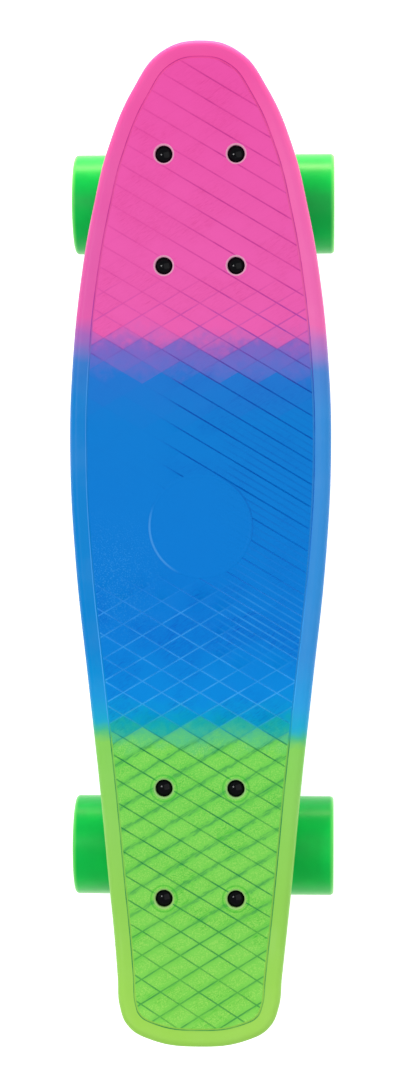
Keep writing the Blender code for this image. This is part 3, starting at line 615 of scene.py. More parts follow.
deck = {
    # Half of the outline from the tip of the nose to the middle of the tail, mm
    "outline": (
        (0.0, 277.5),
        (22.5, 271.2),
        (38.5, 250.8),
        (53.2, 216.6),
        (61.3, 184.0),
        (67.8, 148.0),
        (73.4, 95.0),
        (75.0, 45.0),
        (72.2, -16.0),
        (64.3, -92.0),
        (58.3, -147.0),
        (52.0, -213.0),
        (47.2, -258.0),
        (45.5, -273.5),
        (40.5, -283.8),
        (28.0, -290.8),
        (0.0, -294.5),
    ),
    "depth": 13.0,
    "skin": 5.0,
    # The top's edge from the outside in: distance from the edge and height
    "rimRoll": (4.6, 6.0),
    "gutter": (9.2, -0.85),
    "gutterFloor": (9.7, -0.95),
    "fieldEdge": (10.5, -0.15),
    "lineEnd": 1.2,
    "lipRound": 2.5,
    "lipWidth": 9.0,
    "rib": 2.6,
    "ribSunk": 0.8,
    "padSide": 33,  # half the solid pad's width over a truck, and how far it reaches each way
    "padReach": 46,
    "crossRibs": (36, 90),  # ribs across the board, ahead of and behind the middle of the trucks
    "longRib": 20,  # ribs along it, to each side: between the trucks and past them
    "endLongRib": 12,
    "padDepth": 2.5,  # how far the smooth discs reach into the skin
    "boltRing": 7.2,
    "tailKick": (-222.0, 30.0, 0.40),  # where it starts, how long it curves, its slope
    "noseKick": (222.0, 56.0, 0.20),
}


def deckLoop():
    # The outline as a smooth closed curve, from automatic Bezier handles.
    right = deck["outline"]
    points = list(right) + [(-x, y) for x, y in reversed(right[1:-1])]
    curve = bpy.data.curves.new("outline", "CURVE")
    spline = curve.splines.new("BEZIER")
    spline.bezier_points.add(len(points) - 1)
    spline.use_cyclic_u = True
    curve.resolution_u = 12
    for knot, (x, y) in zip(spline.bezier_points, points):
        knot.co = (x, y, 0)
        knot.handle_left_type = knot.handle_right_type = "AUTO"
    obj = bpy.data.objects.new("outline", curve)
    bm = bmesh.new()
    bm.from_mesh(obj.to_mesh())
    obj.to_mesh_clear()
    bpy.data.objects.remove(obj)
    bpy.data.curves.remove(curve)
    return bm


def deckFace(inset=0.0):
    bm = deckLoop()
    face = bmesh.ops.contextual_create(bm, geom=bm.edges)["faces"][0]
    face.normal_update()
    if face.normal.z < 0:
        face.normal_flip()
    if inset:
        insetTo(bm, face, inset, 0.0)
        bmesh.ops.delete(bm, geom=[other for other in bm.faces if other is not face], context="FACES")
    return bm, face


def insetTo(bm, face, width, rise):
    made = bmesh.ops.inset_individual(bm, faces=[face], thickness=width, depth=rise, use_even_offset=True)
    return made["faces"]


def latticePlanes():
    # The grooves' centre lines as (point, normal) pairs, both ways across.
    slope = lattice["length"] / lattice["across"]
    reach = deck["outline"][0][1] + 60
    count = int(reach / lattice["length"]) * 2
    planes = []
    for side in (1, -1):
        normal = Vector((side * slope, 1, 0)).normalized()
        first = lattice["crossing"] - 4 * lattice["length"]
        for i in range(count):
            planes.append((Vector((0, first + i * lattice["length"], 0)), normal))
    return planes


def cutField(bm, faces):
    # Cuts three lines for each groove; lowerGrooves lowers the middle one.
    cells = list(faces)
    for point, normal in latticePlanes():
        for shift in (-lattice["groove"] / 2, 0, lattice["groove"] / 2):
            geom = list({v for f in cells for v in f.verts} | {e for f in cells for e in f.edges}) + cells
            cut = bmesh.ops.bisect_plane(
                bm, geom=geom, dist=1e-4, plane_co=point + normal * shift, plane_no=normal)
            if any(isinstance(item, bmesh.types.BMEdge) for item in cut["geom_cut"]):
                cells = [item for item in cut["geom"] if isinstance(item, bmesh.types.BMFace)]
    return cells


def groovesDepth(x, y, side):
    # The share of its full depth that a groove has, which follows how the pattern's lines show.
    def ramp(value, low, high):
        share = min(1.0, max(0.0, (value - low) / (high - low)))
        return share * share * (3 - 2 * share)

    green = ramp(y, -108, -126)
    washed = ramp(x, -6, -28) * ramp(y, 106, 88) * ramp(y, -44, -22)
    pink = ramp(y, 96, 110)
    if side == 1:
        return (1 - 0.4 * pink) * (1 - washed)
    tail = ramp(y, -214, -236)
    lowerBlue = ramp(y, -26, -52) * (1 - green) * max(ramp(x, 30, -10), ramp(y, -72, -92))
    border = ramp(y, 156, 118) * ramp(y, 86, 100)
    return 0.8 * max(tail, lowerBlue, green * 0.3, border * 0.4)


def lowerGrooves(cells):
    slope = lattice["length"] / lattice["across"]
    inside = set(cells)
    for vert in {v for f in cells for v in f.verts}:
        if any(face not in inside for face in vert.link_faces):
            continue
        for side in (1, -1):
            place = (vert.co.y - lattice["crossing"] + side * slope * vert.co.x) / lattice["length"]
            if abs(place - round(place)) < 2e-4:
                depth = lattice["depth"] * groovesDepth(vert.co.x, vert.co.y, side)
                vert.co.z = min(vert.co.z, deck["fieldEdge"][1] - depth)


def deckSlab():
    # The flat board: rolled rim, gutter, field with its grooves, wall and rounded lip.
    bm, top = deckFace()
    rollWidth, rollDrop = deck["rimRoll"]
    bmesh.ops.translate(bm, verts=list(top.verts), vec=(0, 0, -rollDrop))
    made = bmesh.ops.extrude_face_region(bm, geom=[top], use_keep_orig=True)
    bottom = next(item for item in made["geom"] if isinstance(item, bmesh.types.BMFace))
    wall = rollDrop + deck["lipRound"] - deck["depth"]
    bmesh.ops.translate(bm, verts=list(bottom.verts), vec=(0, 0, wall))
    bmesh.ops.recalc_face_normals(bm, faces=bm.faces)
    roundIn(bm, top, rollWidth, rollDrop, 7)
    at = Vector((rollWidth, 0.0))
    for key, steps in (("gutter", 3), ("gutterFloor", 1), ("fieldEdge", 1)):
        end = Vector(deck[key])
        for _ in range(steps):
            made = insetTo(bm, top, (end.x - at.x) / steps, (end.y - at.y) / steps)
            for face in made:
                face.material_index = 3 if key == "gutterFloor" else 0
        at = end
    edge = insetTo(bm, top, deck["lineEnd"], 0.0)
    cells = cutField(bm, [*edge, top])
    lowerGrooves(cells)
    for face in cells:
        face.material_index = 1
    under = roundIn(bm, bottom, deck["lipRound"], deck["lipRound"], 4)
    for face in [bottom, *under]:
        face.material_index = 2
    bmesh.ops.triangulate(bm, faces=cells)
    return bm


def roundIn(bm, face, width, height, steps):
    # Insets a face by a quarter round of width and height.
    made = []
    for i in range(steps):
        near, far = (math.radians(90 * (i + k) / steps) for k in (0, 1))
        made += insetTo(
            bm, face, width * (math.cos(near) - math.cos(far)), height * (math.sin(far) - math.sin(near)))
    return made


def bay(x0, x1, y0, y1, low, high, corner, ceiling):
    # A hollow in the underside, inside the lip, between four ribs, with rounded corners and ceiling.
    bm, face = deckFace(deck["lipWidth"])
    sides = (
        ((x0, 0, 0), (-1, 0, 0)), ((x1, 0, 0), (1, 0, 0)),
        ((0, y0, 0), (0, -1, 0)), ((0, y1, 0), (0, 1, 0)))
    for point, normal in sides:
        bmesh.ops.bisect_plane(
            bm, geom=[*bm.verts, *bm.edges, *bm.faces], plane_co=point, plane_no=normal, clear_outer=True)
    corners = [vert for vert in bm.verts if vert.calc_edge_angle(0) > math.radians(30)]
    near = [
        vert for vert in bm.verts
        if vert not in corners and any((vert.co - at.co).length < corner * 2 for at in corners)
    ]
    bmesh.ops.dissolve_verts(bm, verts=near)
    bmesh.ops.translate(bm, verts=bm.verts, vec=(0, 0, low))
    made = bmesh.ops.extrude_face_region(bm, geom=bm.faces[:], use_keep_orig=True)
    upper = [item for item in made["geom"] if isinstance(item, bmesh.types.BMVert)]
    bmesh.ops.translate(bm, verts=upper, vec=(0, 0, high - low))
    bm.normal_update()
    bmesh.ops.recalc_face_normals(bm, faces=bm.faces)
    upright = [
        edge for edge in bm.edges
        if abs(edge.verts[0].co.z - edge.verts[1].co.z) > 1 and edge.calc_face_angle(0) > math.radians(30)
    ]
    bmesh.ops.bevel(
        bm, geom=upright, offset=corner, segments=5, profile=0.5, affect="EDGES",
        material=-1, clamp_overlap=True)
    roof = [edge for edge in bm.edges if all(v.co.z > high - 0.01 for v in edge.verts)
            and edge.calc_face_angle(0) > math.radians(60)]
    bmesh.ops.bevel(bm, geom=roof, offset=ceiling, segments=3, profile=0.5, affect="EDGES", material=-1)
    for face in bm.faces:
        face.material_index = 2
    return bm


def deckHollows():
    # The bays between the ribs, and a shallow step that sinks the ribs below the lip.
    wide, far = 90, 400  # past the board's sides and its ends
    half = deck["rib"] / 2
    spine, endSpine, padSide = deck["longRib"], deck["endLongRib"], deck["padSide"]
    padIn = boltPattern["truckCentre"] - deck["padReach"]
    padOut = boltPattern["truckCentre"] + deck["padReach"]
    low, high = -deck["depth"] - 3, -deck["skin"]
    near, farther = deck["crossRibs"]
    rows = (-padIn, -farther, -near, near, farther, padIn)
    cells = []
    for y0, y1 in zip(rows, rows[1:]):
        cells += [(x0, x1, y0, y1) for x0, x1 in ((-wide, -spine), (-spine, spine), (spine, wide))]
    for end in (1, -1):
        y0, y1 = sorted((end * padIn, end * padOut))
        cells += [(-wide, -padSide, y0, y1), (padSide, wide, y0, y1)]
    for y0, y1 in ((padOut, far), (-far, -padOut)):
        stripes = ((-wide, -endSpine), (-endSpine, endSpine), (endSpine, wide))
        cells += [(x0, x1, y0, y1) for x0, x1 in stripes]
    bays = [
        bay(x0 + half, x1 - half, y0 + half, y1 - half, low, high, 4.0, 1.6)
        for x0, x1, y0, y1 in cells
    ]
    stepTop = deck["ribSunk"] - deck["depth"]
    steps = [
        bay(-wide, wide, y0, y1, low, stepTop, 3.0, 0.3)
        for y0, y1 in ((-padIn + half, padIn - half), (padOut + half, far), (-far, -padOut - half))
    ]
    return together(*bays), together(*steps)


def boltSpots():
    # Every deck bolt: its truck, its number and its place from the middle of the trucks.
    across, lengthwise = boltPattern["x"], boltPattern["y"]
    corners = [(x, y) for y in (lengthwise, -lengthwise) for x in (-across, across)]
    for truck, end in (("front", 1), ("rear", -1)):
        for number, (x, y) in enumerate(corners, 1):
            yield truck, number, x, end * boltPattern["truckCentre"] + y


def pads():
    # Smooth discs that stop the grooves: one round each bolt and the blank medallion.
    floor = -deck["padDepth"]
    field = deck["fieldEdge"][1]
    ring = deck["boltRing"]
    discs = []
    for _, _, x, y in boltSpots():
        profile = ((0, floor), (ring, floor), (ring, field + 0.1, 0.25, 3), (0, field + 0.1))
        disc = lathe(fillet(profile, False), 48)
        discs.append(moved(disc, Matrix.Translation((x, y, 0))))
    x, y, radius = lattice["medallion"]
    crest = field + 0.22
    profile = fillet((
        (0, floor), (radius, floor), (radius, crest, 0.3, 3), (radius - 1.5, crest, 0.4, 3),
        (radius - 2.1, field + 0.02, 0.4, 3), (0, field + 0.05)), False)
    medallion = lathe(profile, 96)
    for vert in medallion.verts:
        if vert.co.z > field:
            turn = math.atan2(vert.co.y, vert.co.x) - math.radians(18)
            vert.co.z = field + (vert.co.z - field) * (0.3 + 0.7 * abs(math.cos(turn)) ** 1.5)
    discs.append(moved(medallion, Matrix.Translation((x, y, 0))))
    whole = together(*discs)
    for face in whole.faces:
        face.material_index = 1
    return whole


def boltHoles():
    seat = boltPattern["head"] + 0.2
    sink = -boltPattern["sink"]
    deep = -deck["depth"] - 2
    shank = boltPattern["shank"] + 0.3
    profile = fillet((
        (0, 2), (seat + 3.4, 2), (seat + 0.9, -0.1), (seat, -1.0, 0.5, 3), (seat, sink),
        (shank, sink), (shank, deep), (0, deep)), False)
    spots = [Matrix.Translation((x, y, 0)) for _, _, x, y in boltSpots()]
    holes = together(*(moved(lathe(profile, 40), spot) for spot in spots))
    for face in holes.faces:
        face.material_index = 4
    return holes


def kick(distance, curve, slope):
    # How far the board rises, distance past the start of a kick: a parabola, then a straight slope.
    if distance <= 0:
        return 0.0
    if distance < curve:
        return slope * distance**2 / (2 * curve)
    return slope * (distance - curve / 2)


def bend(bm):
    tailStart, tailCurve, tailSlope = deck["tailKick"]
    noseStart, noseCurve, noseSlope = deck["noseKick"]
    stations = [tailStart - tailCurve * i / 12 for i in range(13)]
    stations += [noseStart + noseCurve * i / 12 for i in range(12)]
    for station in stations:
        bmesh.ops.bisect_plane(
            bm, geom=[*bm.verts, *bm.edges, *bm.faces], dist=1e-4,
            plane_co=(0, station, 0), plane_no=(0, 1, 0))
    bmesh.ops.triangulate(bm, faces=[face for face in bm.faces if len(face.verts) > 4])
    for vert in bm.verts:
        y = vert.co.y
        vert.co.z += kick(tailStart - y, tailCurve, tailSlope) + kick(y - noseStart, noseCurve, noseSlope)


def makeDeck():
    hollows, steps = deckHollows()
    bm = carved(
        deckSlab(), ("DIFFERENCE", hollows), ("DIFFERENCE", steps),
        ("UNION", pads()), ("DIFFERENCE", boltHoles()))
    bend(bm)
    place = Matrix.Translation((0, middleY, deckTop))
    piece = addPiece("deck_shell", bm, "rim field under line seat", "deck", place, ["deck"], 28)
    print("deck made:", len(piece.data.polygons), "faces")


makeDeck()


wheel = {
    "radius": rearAxle.z / mm,
    "width": wheelWidth,
    "lip": 2.2,
    "hubRadius": 11.05,
    "bearingSpacing": 17.0,
    "sides": 128,
}


def wheelBody():
    half = wheel["width"] / 2
    hub = wheel["hubRadius"]
    radius = wheel["radius"]
    shoulder = wheel["bearingSpacing"] / 2 - 3.7
    mouth = wheel["bearingSpacing"] / 2 + 4.1
    outer = (
        (9.0, shoulder, 0.3, 2),
        (hub, shoulder),
        (hub, mouth, 0.5, 3),
        (hub + 1.9, mouth + 0.2, 0.8, 3),
        (hub + 2.6, mouth - 0.9, 1.0, 4),
        (18.6, half - 0.6, 2.4, 6),
        (20.6, half - 0.1, 0.6, 3),
        (22.2, half - 0.1, 0.4, 3),
        (22.6, half, 0.3, 3),
        (radius, half, wheel["lip"], 10),
    )
    profile = list(outer) + [(corner[0], -corner[1], *corner[2:]) for corner in reversed(outer)]
    return lathe(fillet(profile), wheel["sides"])


def bearingOuter():
    # The outer race and the seal beside it, as two shapes.
    race = fillet((
        (9.4, -3.5), (11.0, -3.5, 0.35, 3), (11.0, 3.5, 0.35, 3), (9.4, 3.5), (9.2, 2.9), (9.2, -2.9)))
    seal = fillet((
        (6.35, 2.2), (9.1, 2.2), (9.1, 2.95, 0.1, 2), (8.5, 2.95, 0.2, 2), (8.2, 3.05, 0.2, 2),
        (6.9, 3.05, 0.2, 2), (6.35, 2.85, 0.1, 2)))
    return lathe(race, 64), lathe(seal, 64)


def bearingInner():
    return lathe(fillet((
        (4.05, -3.5, 0.25, 2), (6.1, -3.5, 0.2, 2), (6.2, -2.0),
        (6.2, 2.0), (6.1, 3.5, 0.2, 2), (4.05, 3.5, 0.25, 2))), 64)


def makeWheel(name, truckBody):
    joint = joints[f"{name}_roll"]
    centre = Vector(joint["pos_m"])
    side = 1 if centre.x > 0 else -1
    body = joint["child"]
    place = along(centre, (side, 0, 0))
    addPiece(f"{name}_wheel_tyre", wheelBody(), "wheel", body, place, [f"{name}_wheel"], 38)
    for which, facing in (("inner", -1), ("outer", 1)):
        shift = facing * wheel["bearingSpacing"] / 2 * mm
        spot = along(centre + Vector((side * shift, 0, 0)), (side * facing, 0, 0))
        race, seal = bearingOuter()
        addPiece(f"{name}_{which}_race", race, "bearing", body, spot, [f"{name}_{which}_bearing"])
        addPiece(f"{name}_{which}_seal", seal, "shield", body, spot)
        addPiece(f"{name}_{which}_inner_race", bearingInner(), "bearing", truckBody, spot)


for truckName in ("front", "rear"):
    for sideName in ("left", "right"):
        makeWheel(f"{truckName}_{sideName}", f"{truckName}_hanger")
print("wheels made")


deckBolt = {"head": 4.82, "dome": 2.6, "band": 0.55, "length": 22.2, "plain": 8.0, "pitch": 0.8}

# Lock nuts: across the flats, height, the bore's radius, and the collar's height
nuts = {
    "deck": (9.5, 5.8, 2.6, 1.8),
    "kingpin": (14.3, 8.0, 4.9, 2.6),
    "axle": (12.7, 6.6, 4.1, 2.2),
}


def hexagon(flats, low, high):
    bm = bmesh.new()
    bmesh.ops.create_cone(
        bm, cap_ends=True, segments=6,
        radius1=flats / math.sqrt(3), radius2=flats / math.sqrt(3), depth=high - low)
    bmesh.ops.translate(bm, verts=bm.verts, vec=(0, 0, (low + high) / 2))
    return bm


def hexSolid(flats, profile):
    # A hexagon cut to a turned profile, which gives it its round chamfers.
    heights = [height for _, height in profile]
    return carved(hexagon(flats, min(heights) - 1, max(heights) + 1), ("INTERSECT", lathe(profile, 60)))


def lockNut(flats, height, bore, collar):
    # A nut that stands on z 0: chamfered hexagon, round collar, and the nylon ring crimped in it.
    corner = flats / math.sqrt(3)
    top = height - collar
    body = hexSolid(flats, (
        (bore, 0), (flats / 2 * 0.96, 0), (corner, corner * 0.16),
        (corner, top - corner * 0.12), (flats / 2 * 0.97, top), (bore, top)))
    ringOut = flats / 2 * 0.9
    crimp = fillet((
        (bore, top - 0.4), (ringOut, top - 0.4), (ringOut, height - 0.5, 0.5, 3),
        (ringOut * 0.84, height, 0.3, 2), (ringOut * 0.76, height),
        (ringOut * 0.76, height - 0.7), (bore, height - 0.7)))
    nylon = fillet((
        (bore - 0.15, height - 0.68), (ringOut * 0.74, height - 0.68),
        (ringOut * 0.74, height - 0.35, 0.15, 2), (bore - 0.15, height - 0.35, 0.15, 2)))
    return carved(body, ("UNION", lathe(crimp, 60))), lathe(nylon, 48)


def addNut(kind, nutName, ringName, body, place, node, spot=Matrix()):
    nut, ring = lockNut(*nuts[kind])
    addPiece(nutName, moved(nut, spot), "zinc", body, place, [node])
    addPiece(ringName, moved(ring, spot), "nylon", body, place)


def threaded(radius, low, high, pitch, tip=0.8):
    # A rod with a ringed thread between two heights, as one turned profile.
    deep = pitch * 0.55
    count = int((high - low - tip) / pitch)
    profile = [(0, low - 0.01), (radius - deep, low - 0.01)]
    for i in range(count):
        at = low + i * pitch
        profile += [(radius - deep, at), (radius, at + pitch * 0.42), (radius, at + pitch * 0.58)]
    profile += [(radius - deep, low + count * pitch), (radius - deep, high - tip * 0.3)]
    profile += [(radius - deep - tip * 0.4, high), (0, high)]
    return lathe(profile, 32)


def boltShape():
    head, dome, band = deckBolt["head"], deckBolt["dome"], deckBolt["band"]
    shank = boltPattern["shank"]
    arcCentre = (dome * dome - band * band - head * head) / (2 * (dome - band))
    big = dome - arcCentre
    curve = []
    for i in range(13):
        radius = head * i / 12
        curve.append((radius, arcCentre + math.sqrt(big * big - radius * radius)))
    plain, length = deckBolt["plain"], deckBolt["length"]
    profile = curve + [(head, band * 0.5), (head - 0.15, 0), (shank, 0), (shank, -plain), (0, -plain)]
    thread = threaded(shank, -length, -plain, deckBolt["pitch"])
    flip = Matrix.Rotation(math.pi, 4, "X") @ Matrix.Translation((0, 0, plain + length))
    return lathe(profile, 64), moved(thread, flip)


def makeDeckBolts():
    seat = deckTop / mm - boltPattern["sink"] + 0.3
    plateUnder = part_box("front_deck_nut_1")[1].z / mm
    for truck, number, x, y in boltSpots():
        place = Matrix.Translation((x * mm, middleY + y * mm, seat * mm))
        head, thread = boltShape()
        bolt = f"{truck}_bolt_{number}"
        addPiece(bolt, head, "black", "deck", place, [f"{truck}_deck_bolt_{number}"])
        addPiece(f"{bolt}_thread", thread, "black", "deck", place)
        under = Matrix.Translation((x * mm, middleY + y * mm, plateUnder * mm))
        flip = under @ Matrix.Rotation(math.pi, 4, "X")
        addNut("deck", f"{bolt}_nut", f"{bolt}_nylon", "deck", flip, f"{truck}_deck_nut_{number}")


makeDeckBolts()
print("deck bolts made")


truck = {
    "plate": (28.0, 41.5, 5.5, 9.0),  # half width, half length, thickness, corner
    "kingpinTop": (0, -0.63, 0),
    "kingpinTilt": 18.0,
    "kingpinRadius": 4.75,
    "boss": (18.0, 13.6, 18.0),
    "ringAt": 36.8,  # down the kingpin
    "ringRadius": 17.0,
    "ringHalf": 6.0,
    "pivot": (0, 28.0, -13.0),
    "pivotTilt": 50.0,
    "axle": (0, 9.4, -50.0),
    "ball": 5.5,
    # Half width of the casting between the ring and the axle, by distance from the ring's centre
    "wings": ((15.5, 2.0), (16.6, 8.0), (21.0, 15.0), (29.5, 22.0), (33.0, 27.0)),
    "wingHalf": 4.6,
    "tube": ((0.0, 11.2), (9.0, 10.9), (20.0, 10.2), (31.0, 9.2), (39.5, 8.8)),
    "voxel": 0.75,
    "kingpinHead": (14.3, 3.2, 9.2),  # across the flats, and from where to where down the kingpin
    "kingpinThread": (11.0, 63.4, 1.25),  # from, to and pitch
    "kingpinNut": 53.6,
    "kingpinHole": 5.1,
    "roadCup": (52.1, 10.9, -1.0),  # place down the kingpin, radius, and the rim's turn
    "boardCup": (18.25, 11.9, 1.2),
    # Rubber rings down the kingpin: from, to, and radius at first, middle and last
    "bushings": {"board": (19.8, 33.8, (11.4, 11.5, 11.5)), "road": (39.8, 51.8, (11.4, 10.6, 9.4))},
    # From the middle of the wheel, along the axle
    "washers": {"inner": -13.3, "outer": 12.3},
    "axleNut": 13.6,
    "axleTip": 21.0,
    "axleThread": 1.25,  # pitch
}
kingpinTilt, pivotTilt = (math.radians(truck[key]) for key in ("kingpinTilt", "pivotTilt"))
down = Vector((0, -math.sin(kingpinTilt), -math.cos(kingpinTilt)))
inward = Vector((0, -math.cos(pivotTilt), -math.sin(pivotTilt)))
ringCentre = Vector(truck["kingpinTop"]) + down * truck["ringAt"]


def onKingpin(distance):
    return along(truck["kingpinTop"], down, distance)


def onPivot():
    return along(truck["pivot"], inward)


def rod(profile, place):
    return moved(lathe(profile, 64), place)


def cylinder(radius, low, high, place, farRadius=None):
    far = radius if farRadius is None else farRadius
    return rod(((0, low), (radius, low), (far, high), (0, high)), place)


def roundedBox(halfX, halfY, low, high, corner):
    bm = box((-halfX, -halfY, low), (halfX, halfY, high))
    upright = [edge for edge in bm.edges if abs(edge.verts[0].co.z - edge.verts[1].co.z) > 0.1]
    bmesh.ops.bevel(bm, geom=upright, offset=corner, segments=8, profile=0.5, affect="EDGES", material=-1)
    return bm


def slab(outline, half, place):
    # A flat plate from (across, along) points, mirrored to both sides.
    bm = bmesh.new()
    points = list(outline) + [(-x, y) for x, y in reversed(outline)]
    verts = [bm.verts.new((x, y, -half)) for x, y in points]
    face = bm.faces.new(verts)
    made = bmesh.ops.extrude_face_region(bm, geom=[face], use_keep_orig=True)
    upper = [item for item in made["geom"] if isinstance(item, bmesh.types.BMVert)]
    bmesh.ops.translate(bm, verts=upper, vec=(0, 0, 2 * half))
    bm.normal_update()
    bmesh.ops.recalc_face_normals(bm, faces=bm.faces)
    return moved(bm, place)


def baseplateShape():
    halfX, halfY, thick, corner = truck["plate"]
    bossTop, bossEnd, bossLength = truck["boss"]
    lumps = [
        roundedBox(halfX, halfY, -thick, 0, corner),
        cylinder(bossTop, 0.5, bossLength, onKingpin(0), bossEnd),
        cylinder(12.9, -12.0, 3.4, onPivot(), 11.8),
        box((-4.0, -2, -13.5), (4.0, 24, -3)),
        box((-13.0, 8, -9.0), (13.0, 30, -3)),
    ]
    for side in (1, -1):
        rib = box((-1.6, -14, -4.6), (1.6, 14, 2.0))
        turn = Matrix.Rotation(math.radians(side * 38), 4, "Z")
        lumps.append(moved(rib, Matrix.Translation((side * 14.5, -15, -thick)) @ turn))
        other = box((-1.6, -11, -3.6), (1.6, 11, 2.0))
        turn = Matrix.Rotation(math.radians(-side * 52), 4, "Z")
        lumps.append(moved(other, Matrix.Translation((side * 15.0, 23.5, -thick)) @ turn))
    body = cast(truck["voxel"], 7, *lumps)
    cuts = [box((-60, -60, -0.02), (60, 60, 20))]
    face = fillet(((0, -30), (6.3, -30), (6.3, -thick + 0.05, 0.4, 3), (0, -thick + 0.05)), False)
    for x in (-boltPattern["x"], boltPattern["x"]):
        for y in (-boltPattern["y"], boltPattern["y"]):
            spot = Matrix.Translation((x, y, 0))
            cuts += [cylinder(2.7, -thick - 3, 1, spot), rod(face, spot)]
    seatEnd = bossLength - 0.1
    seat = rod(((0, 0.5), (4.95, 0.5), (4.95, seatEnd), (16, seatEnd), (16, 26), (0, 26)), onKingpin(0))
    socket = rod(((0, -8.3), (8.7, -8.3), (8.7, 3.0), (15.0, 3.0), (15.0, 7.0), (0, 7.0)), onPivot())
    return carved(body, ("DIFFERENCE", together(*cuts)), ("DIFFERENCE", seat), ("DIFFERENCE", socket))


def hangerShape():
    across = Vector(truck["axle"]) - ringCentre
    plane = Matrix.Translation(ringCentre) @ Matrix((
        (1, 0, 0, 0), (0, across.normalized().y, -across.normalized().z, 0),
        (0, across.normalized().z, across.normalized().y, 0), (0, 0, 0, 1)))
    ring, half = truck["ringRadius"], truck["ringHalf"]
    tube = [(0, -truck["tube"][-1][0])] + [(radius, -x) for x, radius in reversed(truck["tube"])]
    tube += [(radius, x) for x, radius in truck["tube"][1:]] + [(0, truck["tube"][-1][0])]
    arm = ((0, 6.0), (4.3, 6.0), (5.4, 14.0), (7.4, 26.0), (8.8, 38.0), (0, 38.0))
    rails = []
    for side in (1, -1):
        rail = box((-2.3, 0, -6.4), (2.3, 25, 6.4))
        turn = Matrix.Rotation(math.radians(-side * 34), 4, "Z")
        rails.append(moved(rail, plane @ Matrix.Translation((side * 13.2, 2.5, 0)) @ turn))
    body = cast(
        truck["voxel"], 9,
        rod(tube, along(truck["axle"], (1, 0, 0))),
        cylinder(ring, -half, half, onKingpin(truck["ringAt"])),
        slab(truck["wings"], truck["wingHalf"], plane),
        rod(arm, onPivot()),
        *rails)
    dish = ((0, 2.7), (12.05, 2.7), (12.05, half + 0.4), (12.6, half + 1.2), (19, half + 1.2), (19, half + 6))
    dish += ((0, half + 6),)
    under = [(radius, -height) for radius, height in reversed(dish)]
    seats = [rod(profile, onKingpin(truck["ringAt"])) for profile in (dish, under)]
    bore = cylinder(7.25, -4, 4, onKingpin(truck["ringAt"]))
    axleHole = cylinder(4.15, -80, 80, along(truck["axle"], (1, 0, 0)))
    faced = [
        cylinder(20, low, high, along(truck["axle"], (1, 0, 0)))
        for low, high in ((wheelAcross - 13.6, 60), (-60, 13.6 - wheelAcross))
    ]
    return carved(
        body, ("DIFFERENCE", together(*seats)), ("DIFFERENCE", bore), ("DIFFERENCE", together(*faced)),
        ("DIFFERENCE", axleHole))


def pivotBall():
    # The hanger's pin: a neck and a round end, in the pivot cup.
    radius = truck["ball"] - 0.1
    profile = [(0, -radius)]
    for step in range(1, 12):
        angle = math.radians(12 * step)
        profile.append((radius * math.sin(angle), -radius * math.cos(angle)))
    profile += [(4.3, 5.2), (4.4, 8.0), (0, 8.0)]
    return rod(profile, onPivot())


def bushingShape(low, high, radii, hole):
    # A rubber ring with rounded rims and a fine moulding line round its middle.
    first, middle, last = radii
    half = (low + high) / 2
    return lathe(fillet((
        (hole, low), (first, low, 1.1, 5), ((first + middle) / 2 + 0.15, (low + half) / 2),
        (middle + 0.1, half - 0.35), (middle + 0.35, half), (middle + 0.1, half + 0.35),
        ((last + middle) / 2 + 0.15, (high + half) / 2), (last, high, 1.1, 5), (hole, high))), 72)


def cupWasher(low, outer, rim, hole):
    # A dished washer whose rim turns towards +Z when rim is positive.
    base, top = low, low + 1.2
    if rim > 0:
        corners = (
            (hole, base, 0.2, 2), (outer - 0.6, base, 0.8, 4), (outer + 0.5, top + rim, 0.2, 2),
            (outer - 0.6, top + rim, 0.2, 2), (outer - 1.5, top, 0.6, 3), (hole, top, 0.2, 2))
    else:
        corners = (
            (hole, base, 0.2, 2), (outer - 1.5, base, 0.6, 3), (outer - 0.6, base + rim, 0.2, 2),
            (outer + 0.5, base + rim, 0.2, 2), (outer - 0.6, top, 0.8, 4), (hole, top, 0.2, 2))
    return lathe(fillet(corners), 72)


def flatWasher(outer, hole, thick):
    return lathe(fillet((
        (hole, 0, 0.15, 2), (outer, 0, 0.2, 2), (outer, thick, 0.3, 3), (hole, thick, 0.15, 2))), 48)


